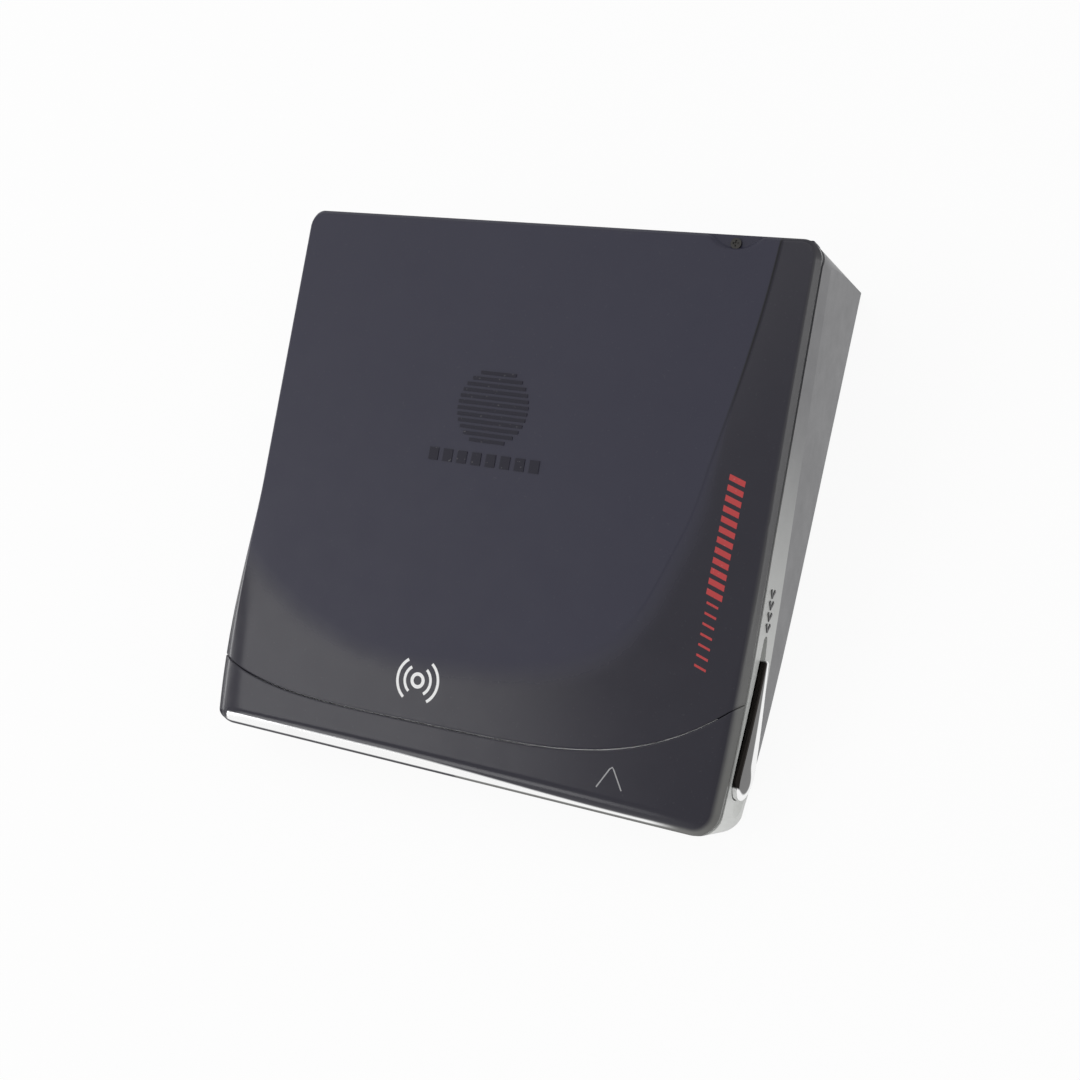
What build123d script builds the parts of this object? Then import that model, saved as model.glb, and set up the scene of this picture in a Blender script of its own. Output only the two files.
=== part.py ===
"""Portable minidisc player: a wedge-shaped case with a lid hinged along its thick rear edge.

Everything is modelled in the deck frame: the closed lid is level with its top at z = 0, +X is the player's
right, +Y is the hinge side and y = 0 is half-way along the case.  At export the model is tilted until its flat
underside is level and its feet stand on z = 0.
"""
from build123d import *
import math
import os

os.makedirs("parts", exist_ok=True)

# ------------------------------------------------------------------ driving dimensions (mm)
case_width = 81.0
case_depth = 79.0
rear_height = 26.0
front_height = 11.5
wall = 1.5
left_bulge = 1.2
right_taper = 1.3
bulge_start = -2.0
rear_radius = 2.8
front_left_radius = 2.0
front_right_radius = 3.6
underside_chamfer = 0.3
facet_rear_drop = 5.3
facet_front_drop = 11.2
facet_draft = 3.2

lid_thickness = 1.2
lid_reveal = 0.15
lid_bevel_in = 0.9
lid_bevel_drop = 1.2
lid_edge = 1.6
lid_wall = 1.2
lid_rear_radius = 0.6
lid_front_radius = 1.6
lid_front_facet_depth = 2.4
lid_front_facet_height = 2.9
front_skirt = 3.3
parting_gap = 0.12
crease_drop = 0.9
crease_growth = 1.6
groove_gap = 0.14
lap_width = 1.4
hinge_inset = 2.6
hinge_drop = 3.6
pin_radius = 0.6
plate_thickness = 0.3

cartridge_width = 72.0
cartridge_depth = 68.0
cartridge_height = 5.0
slot_play = 0.2
holder_sheet = 0.3
holder_lip = 2.6
lid_to_holder = 0.25
holder_to_deck = 0.35
holder_pivot_drop = 1.55
deck_thickness = 0.8

cell_diameter = 14.5
cell_length = 50.5
cell_clearance = 0.2
trough_wall = 0.6
spring_room = 3.0
cover_thickness = 1.2
cover_rim = 2.4
cover_gap = 0.12
ledge_width = 1.4
ledge_thickness = 1.1
foot_radius = 3.2
foot_height = 0.5
foot_sink = 0.4

turntable_radius = 5.6
motor_radius = 7.4
motor_height = 4.2
lens_radius_on_disc = 15.2
sled_travel = 16.0
sled_width = 12.0
sled_height = 3.8
rod_radius = 0.8
rod_spread = 8.0
screw_radius = 1.0
screw_offset = 12.6
gear_radius = 4.2
pinion_radius = 1.5
gear_width = 1.2
gear_teeth = 28
pinion_teeth = 10
sled_motor_radius = 3.0
sled_motor_length = 9.0
running_gap = 0.05

button_travel = 0.4
button_proud = 0.5
button_height = 3.2
button_z = -5.6
button_gap = 0.1
flange_thickness = 0.6
dome_height = 0.2
strip_thickness = 0.5
press_room = 0.05
slider_travel = 3.0
slider_proud = 0.9
catch_gap = 0.15
catch_recess = 0.65
catch_seat = 0.3
switch_travel = 1.5
jack_bore = 1.8
jack_height = 6.0
board_height = 2.6
board_thickness = 0.8

# ------------------------------------------------------------------ worked-out places
half_width = case_width / 2
half_depth = case_depth / 2
tilt = math.degrees(math.atan2(rear_height - front_height, case_depth))
tilt_sin = math.sin(math.radians(tilt))
tilt_cos = math.cos(math.radians(tilt))
middle_height = (rear_height + front_height) / 2
floor_plane = Plane(origin=(0, 0, -middle_height), x_dir=(1, 0, 0), z_dir=(0, tilt_sin, tilt_cos))
hinge_y = half_depth - hinge_inset
hinge_z = -hinge_drop
plate_bottom = -lid_thickness - plate_thickness
holder_top = plate_bottom - lid_to_holder
slot_top = holder_top - holder_sheet
slot_bottom = slot_top - cartridge_height - slot_play
holder_bottom = slot_bottom - holder_sheet
deck_top = holder_bottom - holder_to_deck
deck_bottom = deck_top - deck_thickness
slot_half = cartridge_width / 2 + slot_play
holder_half = slot_half + holder_sheet
slot_front = -half_depth + wall + 0.4
slot_rear = slot_front + cartridge_depth + slot_play
disc_y = slot_front + cartridge_depth / 2
holder_pivot_y = slot_rear + 2.4
holder_pivot_z = (slot_top + slot_bottom) / 2 - 0.6
cell_radius = cell_diameter / 2
cell_w = cover_thickness + cell_clearance + cell_radius
cell_y = half_depth - wall - 0.3 - trough_wall - cell_clearance - cell_radius
cell_v = (cell_y - cell_w * tilt_sin) / tilt_cos
trough_inner = cell_radius + cell_clearance
trough_left = -half_width + wall + 1.0
trough_right = trough_left + cell_length + spring_room + 0.6
door_front = cell_v - trough_inner
door_axis_v = cell_v + trough_inner - 0.2
door_axis_w = cover_thickness / 2
door_pin_radius = 0.4
door_sides = (trough_left + 1.3, trough_right - 0.6)


# ------------------------------------------------------------------ shared helpers
def block(x, y, z):
    """Box between the given (low, high) pairs."""
    size = (x[1] - x[0], y[1] - y[0], z[1] - z[0])
    centre = ((x[0] + x[1]) / 2, (y[0] + y[1]) / 2, (z[0] + z[1]) / 2)
    return Pos(*centre) * Box(*size)


def upright(radius, low, high, x=0.0, y=0.0):
    """Round bar along Z."""
    return Pos(x, y, (low + high) / 2) * Cylinder(radius, high - low)


def along_x(radius, low, high, y=0.0, z=0.0):
    """Round bar along X."""
    return Pos((low + high) / 2, y, z) * Rot(0, 90, 0) * Cylinder(radius, high - low)


def side_profile(points, low=-60.0, high=60.0):
    """Solid with the given outline in the YZ plane, carried from low to high across the width."""
    face = Pos(low, 0, 0) * make_face(Plane.YZ * Polyline(*points, close=True))
    return extrude(face, amount=high - low, dir=(1, 0, 0))


def floor_block(x, v, w):
    """Box measured from the flat underside: v runs up the slope to the hinge side, w points inward."""
    return floor_plane * block(x, v, w)


def floor_peg(radius, low, high, x, v):
    """Round bar square to the underside."""
    return floor_plane * upright(radius, low, high, x, v)


def floor_point(x, v, w):
    """Deck-frame place of a point measured from the underside."""
    return floor_plane.from_local_coords(Vector(x, v, w))


def underside_z(y):
    """Height of the flat underside at a depth in the case."""
    return -middle_height - y * (rear_height - front_height) / case_depth


def outline(inset_x=0.0, inset_y=0.0):
    """The case seen from above: straight behind, swelling on the left, drawn in on the right front."""
    x = half_width - inset_x
    y = half_depth - inset_y
    left_front = -x - left_bulge * 0.3
    right_front = x - right_taper
    beyond = 6.0
    end = -half_depth - beyond
    right = Spline(
        (x, bulge_start),
        (right_front, -half_depth),
        (right_front - 0.1 * beyond, end),
        tangents=[(0, -1), (-0.1, -1)],
    )
    left = Spline(
        (-x, bulge_start),
        (-x - left_bulge, (bulge_start - half_depth) * 0.62),
        (left_front, -half_depth),
        (left_front + 0.12 * beyond, end),
        tangents=[(0, -1), (0.12, -1)],
    )
    across = Line(left @ 1, right @ 1)
    behind = Polyline((x, bulge_start), (x, y), (-x, y), (-x, bulge_start))
    face = make_face([right, behind, left, across]) & Pos(0, 0) * Rectangle(case_width * 2, 2 * y)
    corners = [
        ((x, y), rear_radius),
        ((-x, y), rear_radius),
        ((right_front, -y), front_right_radius),
        ((left_front, -y), front_left_radius),
    ]
    for place, radius in corners:
        corner = face.vertices().sort_by_distance((*place, 0))[0]
        face = fillet(corner, max(radius - max(inset_x, inset_y), 0.4))
    return face


def prism(low, high, inset_x=0.0, inset_y=0.0):
    """Upright block with the case's outline."""
    return extrude(Pos(0, 0, low) * outline(inset_x, inset_y), amount=high - low, dir=(0, 0, 1))


def parting(y):
    """Height of the lid's lower edge, level behind and sinking towards the front."""
    if y > bulge_start:
        return -lid_edge
    return -lid_edge - (front_skirt - lid_edge) * (bulge_start - y) / (bulge_start + half_depth)


def below_parting(drop=0.0):
    """Everything lower than the lid's edge."""
    line = [(y, parting(y) - drop) for y in (60.0, bulge_start, -60.0)]
    return side_profile(line + [(-60, -90), (60, -90)])


def case_form(inset=0.0):
    """The case without its lid, drawn in all round by inset; its sides lean in below a slanting line."""
    slope = math.degrees(math.atan2(facet_front_drop - facet_rear_drop, case_depth))
    band = Pos(0, 0, -(facet_front_drop + facet_rear_drop) / 2) * Rot(slope, 0, 0)
    lean = math.tan(math.radians(facet_draft))
    past_ends = 4.0
    sections = [
        band * Pos(0, 0, height) * outline(inset - height * lean, inset - past_ends)
        for height in (-rear_height - 4, front_height)
    ]
    sides = loft(sections, ruled=True) & prism(-60, 0, inset, inset)
    inside = floor_block((-80, 80), (-80, 80), (0, 60)) & below_parting(parting_gap)
    return sides & inside


def spur_gear(radius, teeth):
    """Spur gear on the X axis with plain tapered teeth, one of them pointing to +Y."""
    tooth = math.pi * radius / teeth
    points = [(-0.5 * tooth, 0), (0.5 * tooth, 0), (0.18 * tooth, 1.2 * tooth), (-0.18 * tooth, 1.2 * tooth)]
    one = Pos(0, radius - 0.7 * tooth) * make_face(Polyline(*points, close=True))
    face = Circle(radius - 0.6 * tooth)
    for index in range(teeth):
        face += Rot(0, 0, 360 * index / teeth) * one
    return Rot(0, 90, 0) * extrude(Pos(0, 0, -gear_width / 2) * face, amount=gear_width, dir=(0, 0, 1))


def coil(radius, wire, pitch, height):
    """Open coil of wire along Z, its section kept six-sided for few facets."""
    path = Helix(pitch=pitch, height=height, radius=radius)
    return sweep(Plane(origin=path @ 0, z_dir=path % 0) * RegularPolygon(wire, 6), path=path)


# ------------------------------------------------------------------ lid
def crease_region(growth, height):
    """Flat area of the lid face inside its U-shaped crease, grown about a point near its middle."""
    centre = Vector(-6, 22)
    points = [(35.4, 60), (34.7, 28), (30.6, 6), (23.6, -14.6), (4, -21.3), (-22, -18.6), (-60, 4)]
    grown = [(Vector(*point) - centre) * growth + centre for point in points]
    corner = (grown[-1].X, grown[0].Y)
    face = make_face([Spline(*grown), Line(grown[-1], corner), Line(corner, grown[0])])
    return Pos(0, 0, height) * face


def lid_form():
    """Bevelled slab with upright sides below it, from which the lid is cut."""
    edge = Pos(0, 0, -lid_bevel_drop) * outline(lid_reveal)
    slab = loft([edge, outline(lid_reveal + lid_bevel_in)], ruled=True)
    return slab + prism(-20, -lid_bevel_drop, lid_reveal)


def lid_outer():
    """Closed lid: bevelled sides, rounded ends and a shallow apron past the crease."""
    facet = [(-half_depth, -lid_front_facet_height), (-half_depth + lid_front_facet_depth, 0)]
    profile = [(-half_depth, -10), *facet, (half_depth, 0), (half_depth, -10)]
    ends = make_face(Plane.YZ * Polyline(*profile, close=True))
    for y, radius in ((facet[1][0], lid_front_radius), (half_depth, lid_rear_radius)):
        corner = ends.vertices().sort_by_distance((0, y, 0))[0]
        ends = fillet(corner, radius)
    body = lid_form() & extrude(ends, amount=60, both=True)
    apron = loft([crease_region(crease_growth, -crease_drop), crease_region(1.0, 0.0)], ruled=True)
    apron += extrude(crease_region(crease_growth, -crease_drop), amount=10, dir=(0, 0, -1))
    return (body & apron) - below_parting()


def cap_region(shift=0.0):
    """Everything in front of the arc-shaped groove."""
    points = [(-43, -24.5), (-36, -31.4), (-8, -33.1), (22, -31), (43, -16)]
    curve = Spline(*[(x, y + shift) for x, y in points])
    front = -half_depth - 20
    face = make_face([curve, Polyline((43, points[-1][1] + shift), (43, front), (-43, front), (-43, points[0][1] + shift))])
    return extrude(Pos(0, 0, -20) * face, amount=30, dir=(0, 0, 1))


def lid_pocket():
    """Hollow underside of the lid, a little deeper where the apron thins the front."""
    inset = lid_reveal + lid_wall
    rear = prism(-20, -lid_thickness, inset, inset) & block((-60, 60), (-28.5, hinge_y - 3), (-20, 0))
    front_wall = lid_front_facet_depth - 0.45
    front = prism(-20, -lid_thickness - 0.3, inset, front_wall) & block((-60, 60), (-60, -28.4), (-20, 0))
    return rear + front


def lid_bead():
    """Hinge bead under the rear edge: a hollow curled skirt with a solid knuckle at each end."""
    half = half_width - wall - 0.1
    hollow = half - 14
    bead = along_x(hinge_inset, -half, half, hinge_y, hinge_z)
    bead += block((-half, half), (hinge_y, half_depth), (hinge_z, -lid_thickness + 0.2))
    bead += block((-half, half), (hinge_y - hinge_inset, hinge_y), (hinge_z + 0.6, -lid_thickness + 0.2))
    bead = bead & lid_form() & block((-60, 60), (-60, 60), (-20, -lid_rear_radius - 0.2))
    bead -= along_x(hinge_inset - 1.0, -hollow, hollow, hinge_y, hinge_z)
    bead -= block((-hollow, hollow), (hinge_y - 4, hinge_y), (hinge_z - 4, -lid_thickness))
    for side in (-1, 1):
        low, high = sorted((side * (half - 4.5), side * (half + 1)))
        bead -= along_x(pin_radius + running_gap, low, high, hinge_y, hinge_z)
    return bead


def screw_pocket(margin=0.0):
    """Scalloped seat of the screw in the lid's rear edge."""
    return upright(4.3 + margin, -0.7, 5, lid_screw_x, half_depth + 2.0)


lid_screw_x = 28.6
lid_screw_y = half_depth - 1.2
lid_screw_radius = 0.75


def lid_parts():
    """Lid panel, front cap, steel plate, rear screw and latch hook."""
    outer = lid_outer()
    pocket = lid_pocket()
    lap_top = -lid_thickness / 2 - 0.35
    lap = outer & cap_region() & block((-60, 60), (-60, 60), (-10, lap_top)) - cap_region(-lap_width)
    panel = (outer - cap_region()) + lap - pocket + lid_bead() - screw_pocket()
    panel -= upright(0.5, -4, 0, lid_screw_x, lid_screw_y)
    cap = (outer & cap_region(-groove_gap)) - pocket
    keep_clear = block((-60, 60), (-60, 60), (-10, lap_top + 0.06)) - cap_region(-lap_width - 0.1)
    cap -= keep_clear
    plate = prism(plate_bottom, -lid_thickness, 3, 3) & block((-60, 60), (-28, hinge_y - 4), (-10, 0))
    for x in (-27, -9, 9, 27):
        plate -= extrude(Pos(x, 2, plate_bottom - 1) * RectangleRounded(7, 44, 3), amount=3, dir=(0, 0, 1))
    screw = upright(lid_screw_radius, -0.7, -0.35, lid_screw_x, lid_screw_y)
    screw += upright(0.5, -3, -0.7, lid_screw_x, lid_screw_y)
    screw -= Pos(lid_screw_x, lid_screw_y, -0.35) * (Box(0.9, 0.24, 0.3) + Box(0.24, 0.9, 0.3))
    across = (hook_x - 0.25, hook_x + 0.25)
    hook = block(across, (hook_y - 1.0, hook_y), (-5.4, -lid_thickness - 0.3))
    hook += block(across, (hook_y, hook_y + hook_nose), (-5.4, -4.7))
    hook += block(across, (hook_y - 2, hook_y + 2), (-lid_thickness - 1.0, -lid_thickness - 0.3))
    return {"lid_panel": panel, "front_cap": cap, "lid_plate": plate, "lid_screw": screw, "lid_hook": hook}


hook_x = holder_half + 0.7
hook_y = -33.6
hook_nose = 1.2


# ------------------------------------------------------------------ case
post_x = 30.0
post_rows = (-32.0, 17.5)
damper_thickness = 0.6
post_top = deck_bottom - damper_thickness
deck_screw_radius = 0.6
cover_screw_radius = 0.7
cover_screw_length = 2.4

left_buttons = {
    "previous_button": (-33.0, 5.0),
    "play_button": (-25.5, 7.0),
    "next_button": (-18.0, 5.0),
    "stop_button": (-11.5, 5.0),
    "volume_down_button": (-5.0, 4.4),
    "volume_up_button": (1.0, 4.4),
}
hold_y = 12.0
bass_x = 24.0
bass_z = -13.0
switch_slot = (6.0, 1.8)
phones_v = 10.5
dc_v = 2.0
jack_w = board_height + board_thickness + jack_height / 2
stem_y = (-27.0, -21.5)
stem_z = -6.1
catch_y = -31.0
catch_z = -6.9
catch_radius = 3.1
tail_y = -16.0
tail_z = -5.3
tail_radius = 0.6


def pill_x(length, height, low, high, y, z):
    """Bar along X with a round-ended cross-section."""
    face = Plane.YZ * SlotOverall(length, height)
    return extrude(Pos(low, y, z) * face, amount=high - low, dir=(1, 0, 0))


def pill_y(length, height, low, high, x, z):
    """Bar along Y with a round-ended cross-section."""
    face = Pos(x, low, z) * (Plane.XZ * SlotOverall(length, height))
    return extrude(face, amount=high - low, dir=(0, 1, 0))


def teardrop(low, high, margin=0.0, travel=0.0):
    """Outline of the slider, broad in front and tapering to a small tail, and swept over its travel."""
    circles = []
    for shift in sorted({0.0, travel}):
        circles.append(Pos(catch_y + shift, catch_z) * Circle(catch_radius + margin))
        circles.append(Pos(tail_y + shift, tail_z) * Circle(tail_radius + margin))
    face = make_hull([edge for circle in circles for edge in circle.edges()])
    return extrude(Pos(low, 0, 0) * (Plane.YZ * face), amount=high - low, dir=(1, 0, 0))


def underside_face(body):
    """The flat face that the player rests on."""
    return min(body.faces(), key=lambda face: floor_plane.to_local_coords(face.center()).Z)


def case_body():
    """Side walls with a ledge for the cover, hinge seat, screw posts and openings for the controls."""
    body = case_form()
    body = chamfer(underside_face(body).edges(), underside_chamfer)
    ledge_top = cover_thickness + ledge_thickness
    body -= case_form(wall) & floor_block((-80, 80), (-80, 80), (ledge_top, 60))
    body -= case_form(wall + ledge_width)
    body -= case_form(cover_rim) & floor_block((-80, 80), (-80, 80), (-1, cover_thickness))
    inside = half_width - wall
    body -= along_x(hinge_inset + 0.15, -inside, inside, hinge_y, hinge_z)
    sweep_clear = [
        (hinge_y - 0.8, 1),
        (hinge_y - 0.8, -lid_edge - 0.05),
        (hinge_y, hinge_z + 1.55),
        (half_depth + 1, hinge_z - 0.3),
        (half_depth + 1, 1),
    ]
    body -= side_profile(sweep_clear)
    body -= block((-inside, inside), (hinge_y, half_depth + 1), (hinge_z - 0.95, 1))
    for side in (-1, 1):
        low, high = sorted((side * (inside - 0.5), side * (inside + 1.0)))
        body -= along_x(pin_radius, low, high, hinge_y, hinge_z)
        body -= along_x(pin_radius, low, high, holder_pivot_y, holder_pivot_z)
        for y in post_rows:
            web_top = post_top - 0.3
            reach = sorted((side * (post_x + 1), side * (inside + 0.5)))
            post = upright(2.0, -40, post_top, side * post_x, y) + block(reach, (y - 0.5, y + 0.5), (-40, web_top))
            body += post & case_form(wall - 0.3) & floor_block((-80, 80), (-80, 80), (cover_thickness, 60))
            body -= upright(deck_screw_radius, post_top - 1.2, post_top + 1, side * post_x, y)
            body -= floor_peg(cover_screw_radius, -1, cover_screw_length - 0.3, side * post_x, cover_screw_v(y))
    body -= door_pivots(door_pin_radius + running_gap)
    return body - control_openings()


def control_openings():
    """Holes through the walls for buttons, sliders and jacks, and the thumb scoop beside the catch."""
    left = -half_width
    cuts = []
    for y, length in left_buttons.values():
        cuts.append(pill_x(length + 2 * button_gap, button_height + 2 * button_gap, left - 3, left + 4, y, button_z))
    cuts.append(pill_x(switch_slot[0], switch_slot[1], left - 3, left + wall + 0.5, hold_y, button_z))
    cuts.append(pill_y(switch_slot[0], switch_slot[1], half_depth - wall - 0.5, half_depth + 1, bass_x, bass_z))
    for v, radius in ((phones_v, jack_bore + 1.25), (dc_v, 2.4)):
        place = floor_point(0, v, jack_w)
        cuts.append(along_x(radius, left - 3, left + wall + 1.5, place.Y, place.Z))
    right = half_width
    opening = (stem_y[1] - stem_y[0]) + slider_travel + 0.4
    ends = (stem_y[0] - 0.2, stem_y[0] - 0.2 + opening)
    cuts.append(block((right - 4, right + 2), ends, (stem_z - 1.0, stem_z + 1.0)))
    recess = teardrop(right - 6, right + 2, catch_gap, slider_travel) - case_form(catch_recess)
    cuts.append(recess)
    cuts.append(Pos(right + 3.6, catch_y - 3.9, catch_z - 1.6) * Sphere(5.0) - teardrop(right - 6, right + 6, 0.25))
    return cuts


def bottom_plate_region():
    """Layer between the underside and the cover's inner face, inside the case's rim."""
    return case_form(cover_rim + cover_gap) & floor_block((-80, 80), (-80, 80), (0, cover_thickness))


foot_places = ((-21.0, -33.0), (21.0, -33.0), (-24.0, 16.5), (29.0, 29.5))
cover_screw_places = [(side * post_x, y) for side in (-1, 1) for y in post_rows]
board_posts = ((-34.0, -20.0), (-2.0, -20.0), (-23.0, 11.5), (-2.0, 11.5))


def cover_screw_v(y):
    """Place along the underside of a screw that meets the post standing at y."""
    return y * tilt_cos - (underside_z(y) + middle_height) * tilt_sin


def door_pivots(radius):
    """Stub axles at both ends of the battery door's rear edge."""
    left = door_sides[0] - 0.9
    right = door_sides[1] + 0.9
    return floor_plane * (
        along_x(radius, left, door_sides[0] + 0.5, door_axis_v, door_axis_w)
        + along_x(radius, door_sides[1] - 0.5, right, door_axis_v, door_axis_w)
    )


def battery_door_form(margin=0.0):
    """Outline block of the battery door with a rounded hinge edge."""
    left = door_sides[0] - margin
    right = door_sides[1] + margin
    flat = floor_block((left, right), (door_front - margin, door_axis_v), (-1, cover_thickness + 1))
    edge = floor_plane * along_x(door_axis_w + 1.5 * margin, left, right, door_axis_v, door_axis_w)
    return flat + edge


def bottom_parts():
    """Cover, battery door, feet and the screws that hold the cover."""
    layer = bottom_plate_region()
    cover = layer - battery_door_form(cover_gap)
    rear_strip = floor_block((-80, trough_right + 0.4), (door_axis_v - 2, 60), (-5, 5))
    cover -= rear_strip
    cover += bottom_bosses()
    screws = Part()
    for x, y in cover_screw_places:
        v = cover_screw_v(y)
        cover -= floor_peg(1.5, -1, 0.5, x, v) + floor_peg(cover_screw_radius, -1, 3, x, v)
        screw = floor_peg(1.4, 0.05, 0.5, x, v) + floor_peg(cover_screw_radius, 0.5, cover_screw_length - 0.3, x, v)
        slot = Box(1.5, 0.35, 0.4) + Box(0.35, 1.5, 0.4)
        screws += screw - floor_plane * Pos(x, v, 0.1) * slot
    feet = Part()
    for x, v in foot_places:
        cover -= floor_peg(foot_radius, -1, foot_sink, x, v)
        feet += floor_plane * chamfer(
            upright(foot_radius, -foot_height, foot_sink, x, v).faces().sort_by(Axis.Z)[0].edges(), 0.2
        )
    door = (battery_door_form() & layer) + door_pivots(door_pin_radius)
    cover -= door_pivots(door_pin_radius + running_gap)
    return {"bottom_cover": cover, "bottom_screws": screws, "rubber_feet": feet, "battery_door": door}


def bottom_bosses():
    """Short pillars on the cover that carry the main board."""
    bosses = Part()
    for x, v in board_posts:
        bosses += floor_peg(1.8, cover_thickness, board_height, x, v) - floor_peg(0.5, cover_thickness, 5, x, v)
    return bosses


def battery_parts():
    """Trough over the cell, sprung negative contact and flat positive contact."""
    outer_v = trough_inner + trough_wall
    wide = (cell_v - outer_v, cell_v + outer_v)
    low = cover_thickness + ledge_thickness + 0.1
    top = cell_w + trough_inner + 0.4
    shell = floor_block((trough_left, trough_right), wide, (low, top)) & case_form(wall + 0.1)
    foot = floor_block((trough_left, trough_right), wide, (cover_thickness + 0.1, low))
    shell += foot & case_form(wall + ledge_width + 0.15)
    shell = shell & block((-60, 60), (-60, 60), (-60, slot_bottom - 0.25))
    ends = (trough_left + 0.6, trough_right - 0.6)
    hollow = floor_plane * along_x(trough_inner, *ends, cell_v, cell_w)
    hollow += floor_block(ends, (cell_v - trough_inner, cell_v + trough_inner), (-1, cell_w))
    shell -= hollow
    plate = floor_plane * along_x(3.2, ends[0], ends[0] + 0.35, cell_v, cell_w)
    plate += floor_plane * along_x(2.0, ends[0] + 0.35, ends[0] + 0.6, cell_v, cell_w)
    turns = coil(3.2, 0.3, 1.0, spring_room - 1.0)
    spring = floor_plane * Pos(ends[1] - 0.3, cell_v, cell_w) * Rot(0, -90, 0) * turns
    seat = floor_plane * along_x(4.0, ends[1] - 0.35, ends[1], cell_v, cell_w)
    return {"battery_trough": shell, "battery_plate": plate, "battery_spring": spring + seat}


# ------------------------------------------------------------------ cartridge holder
def holder_parts():
    """Folded sheet channel that takes the cartridge, its two leaf springs and its pivot pins."""
    front = slot_front + 0.2
    rear = slot_rear
    sheet = block((-holder_half, holder_half), (front, rear + holder_sheet), (slot_top, holder_top))
    window = RectangleRounded(7, 40, 2.5)
    for x in (-15.0, 0.0, 15.0):
        sheet -= extrude(Pos(x, disc_y, slot_top - 1) * window, amount=3, dir=(0, 0, 1))
    for side in (-1, 1):
        x = sorted((side * slot_half, side * holder_half))
        lip = sorted((side * (slot_half - holder_lip), side * holder_half))
        sheet += block(x, (front, rear + holder_sheet), (slot_bottom, slot_top))
        sheet += block(lip, (front, 19.0), (holder_bottom, slot_bottom))
        stop = sorted((side * (slot_half - 7), side * slot_half))
        sheet += block(stop, (rear, rear + holder_sheet), (slot_bottom + 1, slot_top))
        ear = block(x, (rear, holder_pivot_y), (holder_pivot_z - 1.3, slot_top))
        ear += along_x(1.3, *x, holder_pivot_y, holder_pivot_z)
        sheet += ear - along_x(pin_radius + running_gap, x[0] - 1, x[1] + 1, holder_pivot_y, holder_pivot_z)
    leaves = Part()
    for x in (-24.0, 24.0):
        arch = ThreePointArc(
            (disc_y + 5.0, slot_top), (disc_y + 16, slot_top - 0.55), (disc_y + 27.0, slot_top)
        )
        face = Pos(x - 2, 0, 0) * (Plane.YZ * make_face([arch, Line(arch @ 1, arch @ 0)]))
        shape = extrude(face, amount=4, dir=(1, 0, 0))
        leaves += shape - Pos(0, 0, 0.15) * shape
    pins = Part()
    for side in (-1, 1):
        x = sorted((side * (holder_half - 0.6), side * (half_width - wall + 1.0)))
        pins += along_x(pin_radius, *x, holder_pivot_y, holder_pivot_z)
    return {"cartridge_holder": sheet, "pressure_springs": leaves, "holder_pins": pins}


# ------------------------------------------------------------------ mechanism
rod_z = deck_bottom - 2.6
screw_y = disc_y + screw_offset
screw_z = deck_bottom - gear_radius - 0.45
motor_drop = 1.5
motor_y = screw_y + math.sqrt((gear_radius + pinion_radius) ** 2 - motor_drop ** 2)
motor_z = screw_z - motor_drop
gear_x = 5.4
lug_x = ((gear_x + gear_width / 2 + 0.6, gear_x + gear_width / 2 + 1.8), (37.3, 38.5))
sled_left = lens_radius_on_disc - sled_width / 2


def deck_parts():
    """Deck plate with windows and lugs, its dampers and screws, and the guide rods."""
    deck = prism(deck_bottom, deck_top, wall + 0.4, wall + 0.4)
    deck = deck & block((-60, 60), (-60, door_front * tilt_cos - 1.5), (-20, 0))
    deck -= upright(3.4, -20, 0, 0, disc_y)
    window = RectangleRounded(sled_travel + 9.0, 7.8, 1.0)
    deck -= extrude(Pos(lens_radius_on_disc + sled_travel / 2, disc_y, -20) * window, amount=20, dir=(0, 0, 1))
    for x, y, width, depth in ((-24, -20, 16, 6), (-26, 4, 6, 16), (-16, 6, 6, 14), (20, -24, 18, 6)):
        slot = RectangleRounded(width, depth, 1.5)
        deck -= extrude(Pos(x, y, -20) * slot, amount=20, dir=(0, 0, 1))
    for side in (-1, 1):
        y = disc_y + side * rod_spread
        for low, high in lug_x:
            deck += block((low, high), (y - 1.4, y + 1.4), (rod_z - 1.4, deck_bottom))
        deck -= along_x(rod_radius, lug_x[0][0] - 1, lug_x[1][1] - 0.3, y, rod_z)
    dampers = Part()
    screws = Part()
    for x, y in cover_screw_places:
        deck -= upright(deck_screw_radius + 0.1, -20, 0, x, y)
        dampers += upright(2.0, post_top, deck_bottom, x, y) - upright(deck_screw_radius + 0.1, -20, 0, x, y)
        head = upright(1.3, deck_top, deck_top + 0.35, x, y) + upright(deck_screw_radius, post_top - 1.1, deck_top, x, y)
        cross = Pos(x, y, deck_top + 0.35) * (Box(1.4, 0.3, 0.3) + Box(0.3, 1.4, 0.3))
        screws += head - cross
    rods = Part()
    for side in (-1, 1):
        rods += along_x(rod_radius, lug_x[0][0], lug_x[1][1] - 0.3, disc_y + side * rod_spread, rod_z)
    return {"deck_plate": deck, "deck_dampers": dampers, "deck_screws": screws, "guide_rods": rods}


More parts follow.
